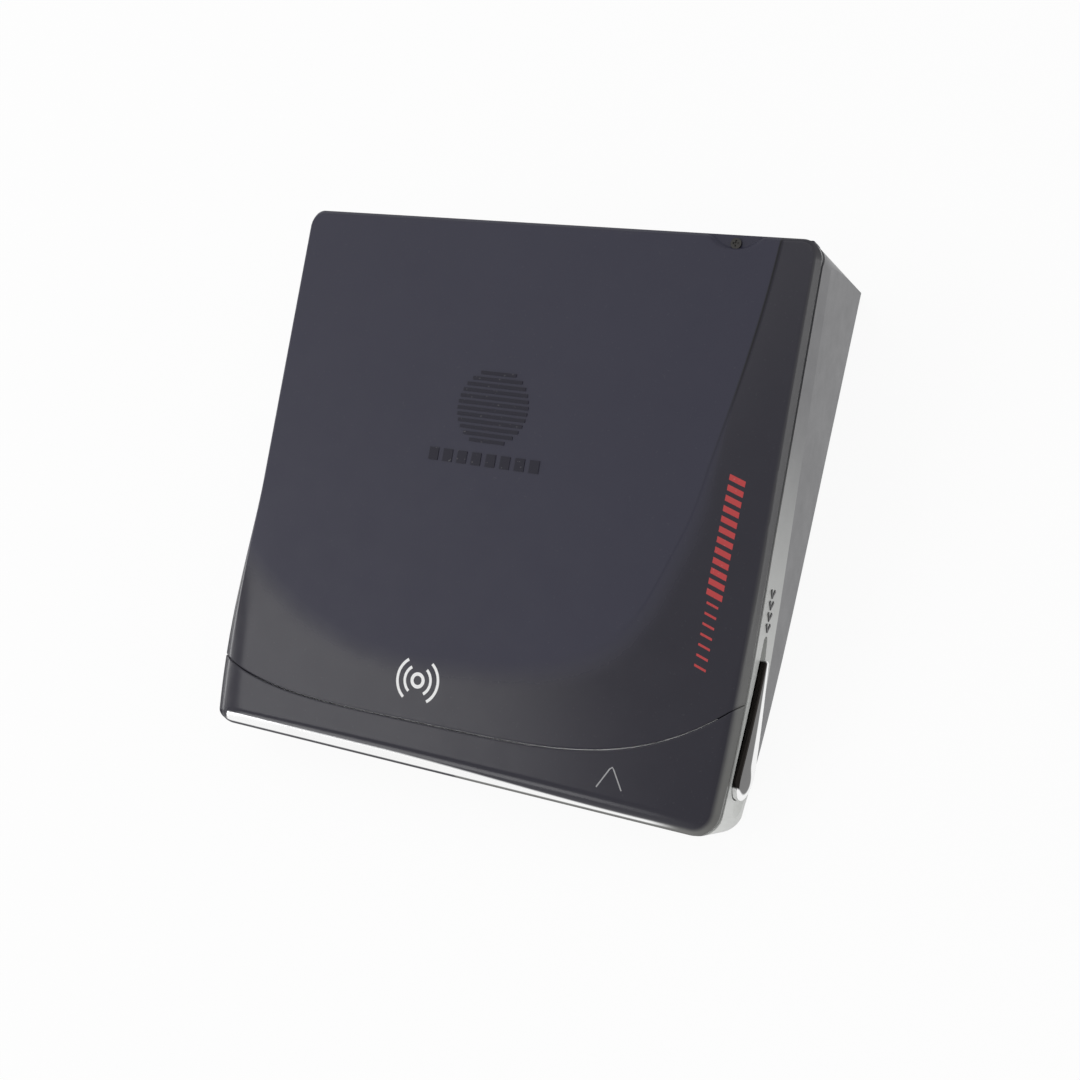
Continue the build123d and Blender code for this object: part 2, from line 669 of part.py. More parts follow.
def spindle_parts():
    """Flat spindle motor under the deck and the magnetic turntable on its shaft."""
    motor_top = deck_bottom
    motor_bottom = deck_bottom - motor_height
    case = upright(motor_radius, motor_bottom, motor_top - 0.8, 0, disc_y)
    case += upright(motor_radius - 1.6, motor_top - 0.8, motor_top, 0, disc_y)
    case = chamfer(case.faces().sort_by(Axis.Z)[0].edges(), 0.4)
    case -= upright(0.75 + running_gap, motor_bottom + 0.5, motor_top + 1, 0, disc_y)
    profile = [
        (0, motor_bottom + 0.8),
        (0.75, motor_bottom + 0.8),
        (0.75, deck_top + 0.1),
        (2.6, deck_top + 0.1),
        (2.6, slot_bottom - 0.1),
        (turntable_radius, slot_bottom - 0.1),
        (turntable_radius, slot_bottom + 0.75),
        (2.1, slot_bottom + 0.75),
        (1.6, slot_bottom + 1.7),
        (0, slot_bottom + 1.7),
    ]
    face = make_face(Plane.XZ * Polyline(*profile, close=True))
    table = Pos(0, disc_y, 0) * revolve(face, Axis.Z)
    low, high = slot_bottom + 0.75, slot_bottom + 0.95
    magnet = upright(4.8, low, high, 0, disc_y) - upright(3.2, low - 1, high + 1, 0, disc_y)
    return {"spindle_motor": case, "turntable": table, "chucking_magnet": magnet}


def sled_parts():
    """Pickup sled on its rods with its nut and lens, and the screw drive that moves it."""
    top = deck_bottom - 0.5
    low = top - sled_height
    right = sled_left + sled_width
    frame = block((sled_left, right), (disc_y - rod_spread - 2, disc_y + rod_spread + 2), (low, top))
    frame = chamfer(frame.edges().filter_by(Axis.Z), 1.0)
    frame -= upright(3.6, low + 1.2, top + 1, lens_radius_on_disc, disc_y)
    frame -= block((sled_left + 2, right - 2), (disc_y - 20, disc_y - rod_spread - 0.3), (low - 1, rod_z))
    nut = block((sled_left + 4, right - 4), (disc_y + rod_spread + 1, screw_y + 2.4), (screw_z - 1.9, low + 0.6))
    nut -= along_x(screw_radius + 0.06, sled_left, right, screw_y, screw_z)
    for side in (-1, 1):
        bore = along_x(rod_radius + running_gap, sled_left - 1, right + 1, disc_y + side * rod_spread, rod_z)
        frame -= bore
        nut -= bore
    nut -= frame
    ring = upright(3.1, low + 1.5, deck_top - 0.2, lens_radius_on_disc, disc_y)
    ring -= upright(1.9, low + 1.4, deck_top, lens_radius_on_disc, disc_y)
    sag = Pos(lens_radius_on_disc, disc_y, deck_top - 2.6) * Sphere(2.6)
    glass = upright(1.9, deck_top - 1.3, deck_top - 0.3, lens_radius_on_disc, disc_y) & sag
    turns = along_x(screw_radius, gear_x + gear_width / 2, lug_x[1][1] - 0.3, screw_y, screw_z)
    pitch = 2.4
    grooves = int((lug_x[1][0] - lug_x[0][1]) / pitch) - 1
    for index in range(0, grooves, 3):
        x = lug_x[0][1] + pitch * (index + 1)
        ring_cut = along_x(screw_radius + 1, x, x + 0.7, screw_y, screw_z)
        turns -= ring_cut - along_x(screw_radius - 0.25, x - 1, x + 2, screw_y, screw_z)
    mesh_angle = math.degrees(math.atan2(motor_z - screw_z, motor_y - screw_y))
    gear = Pos(gear_x, screw_y, screw_z) * Rot(mesh_angle, 0, 0) * spur_gear(gear_radius, gear_teeth)
    half_tooth = 180 / pinion_teeth
    pinion = Pos(gear_x, motor_y, motor_z) * Rot(mesh_angle + 180 + half_tooth, 0, 0)
    pinion = pinion * spur_gear(pinion_radius, pinion_teeth)
    pinion += along_x(0.4, gear_x, lug_x[0][1] + 1.0, motor_y, motor_z)
    motor_left = lug_x[0][1]
    motor = along_x(sled_motor_radius, motor_left, motor_left + sled_motor_length, motor_y, motor_z)
    motor -= along_x(0.4 + running_gap, motor_left - 1, motor_left + 1.1, motor_y, motor_z)
    motor = motor & block((0, 60), (-60, 60), (motor_z - 2.4, motor_z + 2.4))
    bracket = block((lug_x[0][0], lug_x[1][1]), (screw_y - 2, screw_y + 3), (deck_bottom - 0.5, deck_bottom))
    bracket += block((lug_x[0][0], lug_x[0][1] + 9), (screw_y, motor_y + 2.4), (deck_bottom - 0.5, deck_bottom))
    for low_x, high_x in lug_x:
        ear = block((low_x, high_x), (screw_y - 2, screw_y + 2), (screw_z - 2, deck_bottom))
        bracket += ear
    bracket += block(lug_x[0], (screw_y - 2, motor_y + 2.4), (motor_z - 2, deck_bottom))
    bracket -= along_x(screw_radius + running_gap, 0, 60, screw_y, screw_z)
    bracket -= along_x(0.5, lug_x[0][0] - 1, lug_x[0][1] + 1, motor_y, motor_z)
    return {
        "pickup_sled": frame,
        "sled_nut": nut,
        "lens_holder": ring,
        "objective_lens": glass,
        "lead_screw": turns,
        "screw_gear": gear,
        "motor_pinion": pinion,
        "sled_motor": motor,
        "screw_bracket": bracket,
    }


# ------------------------------------------------------------------ electronics and controls
chip_places = ((-26, -12, 9, 9, 1.0), (-12, -16, 6, 5, 0.9), (-13, 9, 8, 6, 1.0), (-24, 2, 4, 4, 1.4))
flange_x = -half_width + wall + 0.1
strip_x = flange_x + flange_thickness + button_travel + press_room + dome_height


def electronics_parts():
    """Main board with chips and screws, phones jack, DC jack and the strip behind the buttons."""
    low, high = board_height, board_height + board_thickness
    board = floor_block((-37.0, 2.0), (-23.0, 14.0), (low, high))
    board -= floor_block((-40, -36), (-24, -18), (low - 1, high + 1))
    chips = Part()
    for x, v, width, depth, tall in chip_places:
        chips += floor_block((x - width / 2, x + width / 2), (v - depth / 2, v + depth / 2), (high, high + tall))
    screws = Part()
    for x, v in board_posts:
        board -= floor_peg(0.6, low - 1, high + 1, x, v)
        screws += floor_peg(1.1, high, high + 0.5, x, v) + floor_peg(0.5, low - 1.0, high, x, v)
    wall_face = -half_width + wall + 0.7
    jack = floor_block((wall_face, wall_face + 12.5), (phones_v - 3, phones_v + 3), (high, high + jack_height))
    jack += floor_plane * along_x(jack_bore + 1.15, -half_width + 0.1, wall_face, phones_v, jack_w)
    jack -= floor_plane * along_x(jack_bore, -60, wall_face + 10.5, phones_v, jack_w)
    inlet = floor_block((wall_face, wall_face + 9), (dc_v - 3, dc_v + 3), (high, high + jack_height))
    inlet += floor_plane * along_x(2.3, -half_width + 0.1, wall_face, dc_v, jack_w)
    inlet -= floor_plane * along_x(1.8, -60, wall_face + 8, dc_v, jack_w)
    pin = floor_plane * along_x(0.5, -half_width + 0.8, wall_face + 8, dc_v, jack_w)
    strip = block((strip_x, strip_x + strip_thickness), (-36, 4.4), (deck_top, -3.0))
    domes = Part()
    for y, length in left_buttons.values():
        domes += along_x(1.3, strip_x - dome_height, strip_x, y, button_z)
    return {
        "main_board": board,
        "board_chips": chips,
        "board_screws": screws,
        "phones_jack": jack,
        "dc_jack": inlet,
        "dc_jack_pin": pin,
        "control_board": strip,
        "dome_contacts": domes,
    }


def control_parts():
    """Side buttons with their flanges, the two slide switches and the switch bodies behind them."""
    parts = {}
    outer = case_form(-button_proud)
    inner = flange_x + flange_thickness
    for name, (y, length) in left_buttons.items():
        cap = pill_x(length, button_height, -half_width - 4, inner, y, button_z) & outer
        parts[name] = cap + pill_x(length + 1.2, button_height + 1.0, flange_x, inner, y, button_z)
    hold = pill_x(3.6, 1.6, -half_width - button_proud, flange_x, hold_y - switch_travel / 2, button_z)
    hold += block((flange_x, flange_x + 0.5), (hold_y - 4.6, hold_y + 3.1), (button_z - 1.6, button_z + 1.6))
    parts["hold_knob"] = hold
    bass_low = half_depth - wall - 0.1
    bass = pill_y(3.6, 1.6, bass_low, half_depth + button_proud, bass_x - switch_travel / 2, bass_z)
    bass += block((bass_x - 4.6, bass_x + 3.1), (bass_low - 0.5, bass_low), (bass_z - 1.6, bass_z + 1.6))
    parts["bass_knob"] = bass
    parts["hold_switch"] = block((flange_x + 0.55, -holder_half - 0.3), (hold_y - 4, hold_y + 4), (deck_top, button_z + 2))
    parts["bass_switch"] = block((bass_x - 5, bass_x + 5), (bass_low - 3.0, bass_low - 0.55), (bass_z - 2.2, bass_z + 2.2))
    return parts


def catch_parts():
    """Chromed slider on the right side, the latch plate behind the wall and its return spring."""
    right = half_width
    knob = teardrop(right - 6, right + 6) & case_form(-slider_proud)
    knob -= case_form(catch_seat)
    plate_x = (hook_x - 0.3, hook_x + 0.3)
    stem = block((plate_x[1], right), stem_y, (stem_z - 0.8, stem_z + 0.8))
    knob += stem & case_form(-0.2)
    knob = fillet(
        [edge for edge in knob.faces().sort_by(Axis.X)[-1].edges()], 0.25
    )
    tongue = hook_y + hook_nose + 0.1
    plate = block(plate_x, (hook_y - 2, 0.0), (deck_top + 0.1, -6.2))
    plate += block(plate_x, (tongue, 0.0), (-6.2, -4.0))
    plate -= block(plate_x, (tongue - 1, tongue + 0.6), (-6.2, -4.6))
    spring = Pos(hook_x + 0.5, 7.0, stem_z) * Rot(90, 0, 0) * coil(0.75, 0.15, 1.3, 6.6)
    return {"open_slider": knob, "latch_plate": plate, "latch_spring": spring}


def hinge_parts():
    """Pins that carry the lid and the light torsion spring round each of them."""
    pins = Part()
    springs = Part()
    half = half_width - wall
    for side in (-1, 1):
        pins += along_x(pin_radius, *sorted((side * (half - 4.2), side * (half + 1.0))), hinge_y, hinge_z)
        turns = coil(1.1, 0.2, 0.8, 2.4)
        springs += Pos(side * (half - 17.0), hinge_y, hinge_z) * Rot(0, 90, 0) * turns
    return {"hinge_pins": pins, "lid_springs": springs}


# ------------------------------------------------------------------ whole player
parts = {}
parts.update(lid_parts())
parts["case_body"] = case_body()
parts.update(bottom_parts())
parts.update(battery_parts())
parts.update(holder_parts())
parts.update(deck_parts())
parts.update(spindle_parts())
parts.update(sled_parts())
parts.update(electronics_parts())
parts.update(control_parts())
parts.update(catch_parts())
parts.update(hinge_parts())

level = floor_plane.location.inverse()
extent = Compound([level * shape for shape in parts.values()]).bounding_box()
stand = Pos(-extent.center().X, -extent.center().Y, foot_height) * level
for name, shape in parts.items():
    export_step(stand * shape, f"parts/{name}.step")
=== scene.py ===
"""Finishes, lid surface, printed marks and studio for a portable minidisc player."""

import math

import bpy
import numpy as np
from mathutils import Matrix, Vector


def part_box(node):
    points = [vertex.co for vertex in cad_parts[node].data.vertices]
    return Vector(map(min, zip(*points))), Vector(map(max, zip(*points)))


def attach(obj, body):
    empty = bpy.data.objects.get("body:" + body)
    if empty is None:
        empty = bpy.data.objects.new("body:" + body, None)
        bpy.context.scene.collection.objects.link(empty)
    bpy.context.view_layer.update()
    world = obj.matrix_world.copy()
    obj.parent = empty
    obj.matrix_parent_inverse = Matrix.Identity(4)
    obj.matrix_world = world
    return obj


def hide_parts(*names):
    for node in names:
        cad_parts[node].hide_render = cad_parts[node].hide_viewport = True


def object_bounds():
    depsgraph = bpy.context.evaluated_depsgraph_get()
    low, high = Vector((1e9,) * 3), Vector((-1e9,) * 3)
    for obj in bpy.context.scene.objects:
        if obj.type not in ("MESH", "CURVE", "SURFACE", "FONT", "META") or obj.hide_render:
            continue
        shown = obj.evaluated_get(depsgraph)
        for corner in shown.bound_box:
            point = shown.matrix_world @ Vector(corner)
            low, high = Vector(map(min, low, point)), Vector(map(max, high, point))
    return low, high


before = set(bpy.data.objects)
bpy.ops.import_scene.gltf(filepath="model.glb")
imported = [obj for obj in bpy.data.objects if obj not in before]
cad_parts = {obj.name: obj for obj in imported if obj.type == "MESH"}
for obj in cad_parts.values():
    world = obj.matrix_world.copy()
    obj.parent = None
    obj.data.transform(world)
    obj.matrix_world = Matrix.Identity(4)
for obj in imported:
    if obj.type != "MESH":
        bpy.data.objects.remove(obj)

bl_info = {
    "name": "Portable Disc Player Dressing",
    "version": (1, 0, 0),
    "blender": (4, 5, 0),
    "location": "View3D > Sidebar > Disc Player",
    "description": "Builds the lid surface, printed marks, finishes and studio of a portable disc player",
    "category": "Object",
}

CAD_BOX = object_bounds()
MM = 0.001
# Half the floor's width in metres, and the share of plain white in how it is seen.
FLOOR_HALF = 4.0
FLOOR_SEEN = 0.93
# Points of the crease and of the seam: places to the right and to the rear of the lid's middle, in mm.
CREASE = (
    *((36.0, 62), (34.7, 38), (33.2, 24.4), (30.8, 10.8), (28.0, -1.8)),
    *((20.9, -16.4), (5.4, -22.4), (-19.4, -22.7), (-39.7, -12.5), (-60, 6)),
)
SEAM = (
    *((-43, -28.6), (-38.3, -31.0), (-31, -32.2), (-24.7, -32.7), (-15.2, -33.1)),
    *((-4.6, -33.0), (6.2, -32.65), (20.3, -31.2), (26.5, -29.8), (30.6, -28.2)),
    *((33.9, -26.2), (38.3, -22.9), (43, -18.6)),
)


# ---------------------------------------------------------------- places shared with the frame
def hinge_centre():
    """Middle of the hinge pins, from which every place on the tilted lid is measured."""
    low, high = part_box("hinge_pins")
    return (np.array(low) + np.array(high)) / 2


def deck_matrix(sizes):
    """Turn and shift from the lid's own level frame to the frame that the player stands in."""
    tilt = math.atan2(sizes.rear_height - sizes.front_height, sizes.case_depth)
    turn = np.array(Matrix.Rotation(tilt, 3, "X"))
    hinge = np.array((0.0, sizes.case_depth / 2 - sizes.hinge_inset, -sizes.hinge_drop))
    return turn, hinge_centre() - turn @ hinge


def to_frame(points, sizes):
    """Points on the lid, in metres of its own frame, carried to the frame the player stands in."""
    turn, shift = deck_matrix(sizes)
    return np.asarray(points) @ turn.T + shift


# ---------------------------------------------------------------- meshes from arrays
def new_piece(name, vertices, faces, material, body, smooth=None):
    """Mesh object from vertex and face arrays; faces meeting at more than `smooth` degrees stay crisp."""
    mesh = bpy.data.meshes.new(name)
    mesh.from_pydata(np.asarray(vertices).tolist(), [], [list(face) for face in faces])
    mesh.validate()
    piece = bpy.data.objects.new(name, mesh)
    bpy.context.scene.collection.objects.link(piece)
    mesh.materials.append(material)
    if smooth is not None:
        mesh.shade_smooth()
        mesh.set_sharp_from_angle(angle=math.radians(smooth))
    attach(piece, body)
    return piece


def grid_faces(rows, columns, start=0, wrap=False):
    """Quads between neighbouring rows and columns of a grid of vertices."""
    across = columns if wrap else columns - 1
    row, column = np.meshgrid(np.arange(rows - 1), np.arange(across), indexing="ij")
    here = start + row * columns + column
    beside = start + row * columns + (column + 1) % columns
    return np.stack([here, beside, beside + columns, here + columns], axis=-1).reshape(-1, 4)


def edge_loop(rows, columns):
    """Vertex numbers round a grid's border, counterclockwise from its first corner."""
    grid = np.arange(rows * columns).reshape(rows, columns)
    return np.concatenate([grid[0, :-1], grid[:-1, -1], grid[-1, :0:-1], grid[:0:-1, 0]])


def gathered(count, pull):
    """Numbers from 0 to 1, closer together towards both ends: t less a share of one sine wave."""
    t = np.linspace(0.0, 1.0, count)
    return t - pull * np.sin(2 * np.pi * t) / (2 * np.pi)


def ease(value):
    """Smooth step: three squares less two cubes of a number held between 0 and 1."""
    value = np.clip(value, 0.0, 1.0)
    return value * value * (3.0 - 2.0 * value)


# ---------------------------------------------------------------- the lid as a surface
def side_limits(y, lid):
    """Left and right edge of the lid at each depth.

    Both are straight behind the start of the bulge. In front of it, with u running from 0 there to 1 at the
    front edge, the right edge is drawn in by a cubic and the left edge swells by u squared times a quadratic
    whose three numbers make it pass through the bulge, the front corner and the slope there.
    """
    half = lid.case_width / 2 - lid.reveal
    run = lid.bulge_start + lid.case_depth / 2
    u = np.clip((lid.bulge_start - y) / run, 0.0, None)
    right_slope, left_slope, corner_share, peak = 0.1, -0.12, 0.3, 0.62
    right = half - lid.right_taper * (3 * u**2 - 2 * u**3) - right_slope * run * (u**3 - u**2)
    rows = [(1.0, 1.0, 1.0), (2.0, 3.0, 4.0), (peak**2, peak**3, peak**4)]
    aims = (corner_share * lid.left_bulge, left_slope * run, lid.left_bulge)
    a, b, c = np.linalg.solve(np.array(rows), np.array(aims))
    left = -half - u**2 * (a + b * u + c * u**2)
    return left, right


def corner_radius(x, y, lid):
    """Radius of the round corner in each point's quarter of the lid."""
    return np.where(y > 0, lid.rear_radius, np.where(x > 0, lid.front_right_radius, lid.front_left_radius))


def inside_depth(x, y, lid):
    """Distance in from the lid's outline, and how far the nearest edge faces forwards and rearwards.

    The sides are straightened first, which leaves a rectangle with four round corners; the distance is the
    usual one to a rounded rectangle, with each corner's own radius.
    """
    left, right = side_limits(y, lid)
    half = lid.case_width / 2 - lid.reveal
    straight = (x - (left + right) / 2) / ((right - left) / 2) * half
    radius = corner_radius(x, y, lid)
    qx = np.abs(straight) - half + radius
    qy = np.abs(y) - lid.case_depth / 2 + radius
    outside = np.hypot(np.maximum(qx, 0), np.maximum(qy, 0))
    depth = radius - outside - np.minimum(np.maximum(qx, qy), 0)
    length = np.maximum(outside, 1e-9)
    endways = np.where(outside > 1e-9, np.maximum(qy, 0) / length, (qy > qx).astype(float))
    return depth, endways * (y < 0), endways * (y > 0)


def crease_points():
    """The U-shaped crease: a Catmull-Rom curve through its named points, in metres."""
    knots = np.array(CREASE) * MM
    padded = np.vstack([2 * knots[0] - knots[1], knots, 2 * knots[-1] - knots[-2]])
    t = np.linspace(0, 1, 40, endpoint=False)[:, None, None]
    p0, p1, p2, p3 = padded[:-3], padded[1:-2], padded[2:-1], padded[3:]
    curve = 0.5 * (
        2 * p1 + (p2 - p0) * t + (2 * p0 - 5 * p1 + 4 * p2 - p3) * t**2 + (3 * p1 - p0 - 3 * p2 + p3) * t**3
    )
    return curve.transpose(1, 0, 2).reshape(-1, 2)


def past_crease(x, y):
    """How far a point lies outside the crease along the ray from a centre inside it, and that ray's angle."""
    centre = np.array((-6.0, 22.0)) * MM
    curve = crease_points() - centre
    angle = np.arctan2(curve[:, 0], -curve[:, 1])
    order = np.argsort(angle)
    reach = np.hypot(curve[:, 0], curve[:, 1])
    point_angle = np.arctan2(x - centre[0], -(y - centre[1]))
    crease = np.interp(point_angle, angle[order], reach[order])
    return np.hypot(x - centre[0], y - centre[1]) - crease, point_angle


def seam_depth(x, lid):
    """Depth of the arc-shaped seam: the polynomial of the fifth degree that lies nearest to its points."""
    across, depth = np.array(SEAM).T * MM
    half = lid.case_width / 2
    return np.polyval(np.polyfit(across / half, depth, 5), x / half)


def soft_lower(a, b, width):
    """The lower of two heights with the change between them rounded over `width`."""
    mix = np.clip(0.5 + 0.5 * (b - a) / width, 0, 1)
    return b * (1 - mix) + a * mix - width * mix * (1 - mix)


def lid_height(x, y, lid):
    """Height of the lid's outer face above its flat panel.

    A bevel falls towards the outline, wide and steep along the front, narrow elsewhere. Outside the crease
    the apron falls at an even slope, after a small step that fades out towards the front. The left side near
    the front and the right front corner roll off softly. The screw's scallop is pressed in behind.
    """
    depth, forward, backward = inside_depth(x, y, lid)
    frontness = ease((-2 * MM - y) / (30 * MM))
    growth = frontness * np.where(x > 0, 1.0, 0.35)
    width = lid.bevel_width + lid.bevel_widening * growth
    drop = lid.bevel_drop + lid.bevel_deepening * growth
    facets = (
        (forward, lid.front_facet_depth, lid.front_facet_height),
        (backward, lid.rear_radius_edge, lid.rear_radius_edge),
    )
    for share, facet_width, facet_drop in facets:
        width = width + (facet_width - width) * share**2
        drop = drop + (facet_drop - drop) * share**2
    outside, angle = past_crease(x, y)
    upper = ease((angle - 1.35) / 0.9)
    step = lid.crease_step * (0.12 + 0.88 * upper) * ease(outside / (0.4 * MM))
    soft = np.maximum(outside, 0)
    slope = lid.apron_slope * soft**2 / (soft + 2.5 * MM * (1 - upper) + 1e-9)
    top = -step - slope
    left, right = side_limits(y, lid)
    left_width, right_width = 5.5 * MM, 9 * MM
    roll_left = lid.left_roll * frontness * np.clip(1 - (x - left) / left_width, 0, 1) ** 2
    near_front = ease((-22 * MM - y) / (18 * MM))
    roll_right = lid.right_roll * near_front * np.clip(1 - (right - x) / right_width, 0, 1) ** 2
    top = top - roll_left - roll_right
    bevel = -drop * (1 - depth / width)
    rounding = 0.25 * MM + 0.9 * MM * np.maximum(forward**2, frontness * (0.4 + 0.6 * (x < 0)))
    surface = soft_lower(top, bevel, rounding)
    pocket_y = lid.case_depth / 2 + 1.0 * MM
    pocket_stretch, pocket_radius, pocket_rim = 1.3, 3.3 * MM, 0.8 * MM
    pocket = np.hypot((x - lid.screw_x) / pocket_stretch, y - pocket_y)
    surface = surface - lid.pocket_drop * ease((pocket_radius - pocket) / pocket_rim)
    return np.maximum(surface, -drop)


def settled(line, start, near, far, t, rounds=12):
    """Sideways place of a column line whose depth depends on that place in turn; found by repetition."""
    x = np.full_like(t, start)
    for _ in range(rounds):
        x = line(near(x) + (far(x) - near(x)) * t)
    return x


def lid_masks(vertices, lid):
    """Where the lid's finishes lie.

    `apron` is outside the crease, `groove` is painted shade at its step, `facet_highlight` is a painted
    highlight on the front facet and `edge` is a painted highlight along the right side. Each is a smooth step
    of the distance past the crease, in from the outline or down from the face.
    """
    x, y, z = vertices.T
    outside, angle = past_crease(x, y)
    sharp = ease((angle - 0.9) / 0.6)
    soft = 0.3 * MM + 5.0 * MM * (1 - sharp)
    apron = ease(outside / soft + 0.2)
    # Painted shade: a dark line along the crease's step, where its shadow falls.
    groove = ease(1 - np.abs(outside - 0.08 * MM) / (0.24 * MM)) * ease((angle - 1.0) / 0.7)
    depth, forward, backward = inside_depth(x, y, lid)
    share = np.clip(depth / lid.front_facet_depth, 0, 1)
    # Painted highlight: a near-white metallic band on the front facet stands in for the highlight on its
    # rounding; it narrows and fades out towards the right front corner, and the facet's lowest part keeps the
    # dark paint for the dark line under the highlight.
    upper = 0.78 - 0.42 * ease((x + 12 * MM) / (40 * MM))
    band = ease((share - 0.12) / 0.06) * ease((upper - share) / 0.10)
    fading = ease((34.5 * MM - x) / (5 * MM)) * (z > -lid.front_facet_height)
    facet_highlight = band * ease((forward - 0.8) / 0.15) * fading
    # Painted highlight: a paler band along the lid's right edge, stronger towards the front, for the light
    # that its right bevel catches.
    rim = ease((1.1 * MM - depth) / (0.7 * MM)) * (x > 0) * (1 - backward)
    edge = rim * (0.35 + 0.65 * ease((4 * MM - y) / (36 * MM)))
    return {"apron": apron, "groove": groove, "facet_highlight": facet_highlight, "edge": edge}


def lid_sheet(lid, near, far, count_x, count_y):
    """Grid over part of the lid between two lines across it, its columns gathered at the crease and sides.

    Depth runs from `near` to `far`, both functions of the sideways place. Each row runs from the left edge to
    the right branch of the crease and on to the right edge.
    """
    t = gathered(count_y, 0.8)
    split = int(count_x * 0.84)
    first = gathered(split, 0.85)
    second = gathered(count_x - split + 1, 0.85)[1:]
    knots = crease_points()
    knots = knots[(knots[:, 1] > -12 * MM) & (knots[:, 0] > 0)]
    order = np.argsort(knots[:, 1])
    lines = (
        (lambda y: side_limits(y, lid)[0], -lid.case_width / 2),
        (lambda y: side_limits(y, lid)[1], lid.case_width / 2),
        (lambda y: np.interp(y, knots[order, 1], knots[order, 0]), 30 * MM),
    )
    left, right, line = (settled(place, start, near, far, t)[:, None] for place, start in lines)
    x = np.hstack([left + (line - left) * first, line + (right - line) * second])
    return x, near(x) + (far(x) - near(x)) * t[:, None]


def into_corners(x, y, lid):
    """Grid points outside the round corners drawn back to the outline, towards each corner's centre."""
    left, right = side_limits(y, lid)
    half = lid.case_width / 2 - lid.reveal
    middle, stretch = (left + right) / 2, (right - left) / 2 / half
    straight = (x - middle) / stretch
    radius = corner_radius(x, y, lid)
    cx = np.sign(straight) * (half - radius)
    cy = np.sign(y) * (lid.case_depth / 2 - radius)
    dx, dy = straight - cx, y - cy
    square = np.maximum(np.abs(dx), np.abs(dy))
    reach = np.maximum(np.hypot(dx, dy), 1e-12)
    corner = (dx * np.sign(cx) > 0) & (dy * np.sign(cy) > 0)
    scale = np.where(corner, square / reach, 1.0)
    return (cx + dx * scale) * stretch + middle, cy + dy * scale


def shell_from_sheet(x, y, lid, seam_row):
    """Closed shell under a grid: its border drops to the parting line and turns in and up by the wall.

    The border along the seam has a small rounded lip and drops straight to the underside, with no wall.
    """
    rows, columns = x.shape
    z = lid_height(x, y, lid)
    seam = np.zeros_like(x, bool)
    seam[seam_row] = True
    lip_width, lip_drop, front_wall, clearance = 0.22 * MM, 0.1 * MM, 1.9 * MM, 0.1 * MM
    z = z - lip_drop * np.clip(1 - np.abs(y - y[seam_row]) / lip_width, 0, 1) ** 2
    loop = edge_loop(rows, columns)
    ex, ey, ez, on_seam = (values.ravel()[loop] for values in (x, y, z, seam))
    front = np.clip((lid.bulge_start - ey) / (lid.bulge_start + lid.case_depth / 2), 0, 1)
    parting = -lid.rear_skirt - (lid.front_skirt - lid.rear_skirt) * front
    under = -lid.thickness
    bottom = np.minimum(np.where(on_seam, under, parting), ez - 0.02 * MM)
    wall = lid.wall + lid.bevel_widening * front
    half = lid.case_width / 2
    inset_x = np.where(on_seam, np.clip(ex, -half + wall, half - wall), ex - np.sign(ex) * wall)
    inset_x = np.where(np.abs(ex) > half - 3 * MM, inset_x, ex)
    inset_y = np.clip(ey, -lid.case_depth / 2 + front_wall, lid.case_depth / 2 - lid.wall)
    closing = np.minimum(under, lid_height(inset_x, inset_y, lid) - clearance)
    rings = [
        np.column_stack([ex, ey, bottom]),
        np.column_stack([inset_x, inset_y, bottom]),
        np.column_stack([inset_x, inset_y, closing]),
    ]
    vertices = np.vstack([np.column_stack([x.ravel(), y.ravel(), z.ravel()]), *rings])
    faces = grid_faces(rows, columns).tolist()
    count = len(loop)
    here = np.arange(count)
    levels = [loop, *(here + rows * columns + count * level for level in range(3))]
    for upper, lower in zip(levels[:-1], levels[1:]):
        faces += np.column_stack([upper, lower, np.roll(lower, -1), np.roll(upper, -1)]).tolist()
    faces.append(levels[-1][::-1].tolist())
    return vertices, faces


# ---------------------------------------------------------------- node helpers
def fresh_material(name):
    """Empty node material with a Principled shader joined to its output."""
    material = bpy.data.materials.new(name)
    material.use_nodes = True
    tree = material.node_tree
    tree.nodes.clear()
    output = tree.nodes.new("ShaderNodeOutputMaterial")
    shader = tree.nodes.new("ShaderNodeBsdfPrincipled")
    tree.links.new(shader.outputs["BSDF"], output.inputs["Surface"])
    return material, tree, shader


def group_tree(name, colour, **numbers):
    """Shader node group from a colour and named numbers to a colour, a roughness and a normal."""
    group = bpy.data.node_groups.new(name, "ShaderNodeTree")
    socket = group.interface.new_socket("Colour", in_out="INPUT", socket_type="NodeSocketColor")
    socket.default_value = (*colour, 1)
    for label, default in numbers.items():
        label = label.replace("_", " ").title()
        socket = group.interface.new_socket(label, in_out="INPUT", socket_type="NodeSocketFloat")
        socket.default_value = default
    for label, kind in (("Colour", "Color"), ("Roughness", "Float"), ("Normal", "Vector")):
        group.interface.new_socket(label, in_out="OUTPUT", socket_type="NodeSocket" + kind)
    return group, group.nodes.new("NodeGroupInput"), group.nodes.new("NodeGroupOutput")


def feed(tree, value, socket):
    """Joins a socket to an input, or sets the input where the value is a number or a colour."""
    if hasattr(value, "links"):
        tree.links.new(value, socket)
    else:
        socket.default_value = value


def math_node(tree, operation, *values, clamp=False):
    """One Math node; its values are numbers or sockets."""
    node = tree.nodes.new("ShaderNodeMath")
    node.operation = operation
    node.use_clamp = clamp
    for value, socket in zip(values, node.inputs):
        feed(tree, value, socket)
    return node.outputs[0]


def own_place(tree):
    """Socket with a point's place in its own object."""
    return tree.nodes.new("ShaderNodeTexCoord").outputs["Object"]


def stretched(tree, place, **inputs):
    """Places turned, scaled or shifted by a Mapping node."""
    node = tree.nodes.new("ShaderNodeMapping")
    for name, value in inputs.items():
        node.inputs[name.title()].default_value = value
    tree.links.new(place, node.inputs["Vector"])
    return node.outputs["Vector"]


def scaled(tree, vector, factor):
    """Vector or colour times a number or a socket."""
    node = tree.nodes.new("ShaderNodeVectorMath")
    node.operation = "SCALE"
    tree.links.new(vector, node.inputs[0])
    feed(tree, factor, node.inputs["Scale"])
    return node.outputs["Vector"]


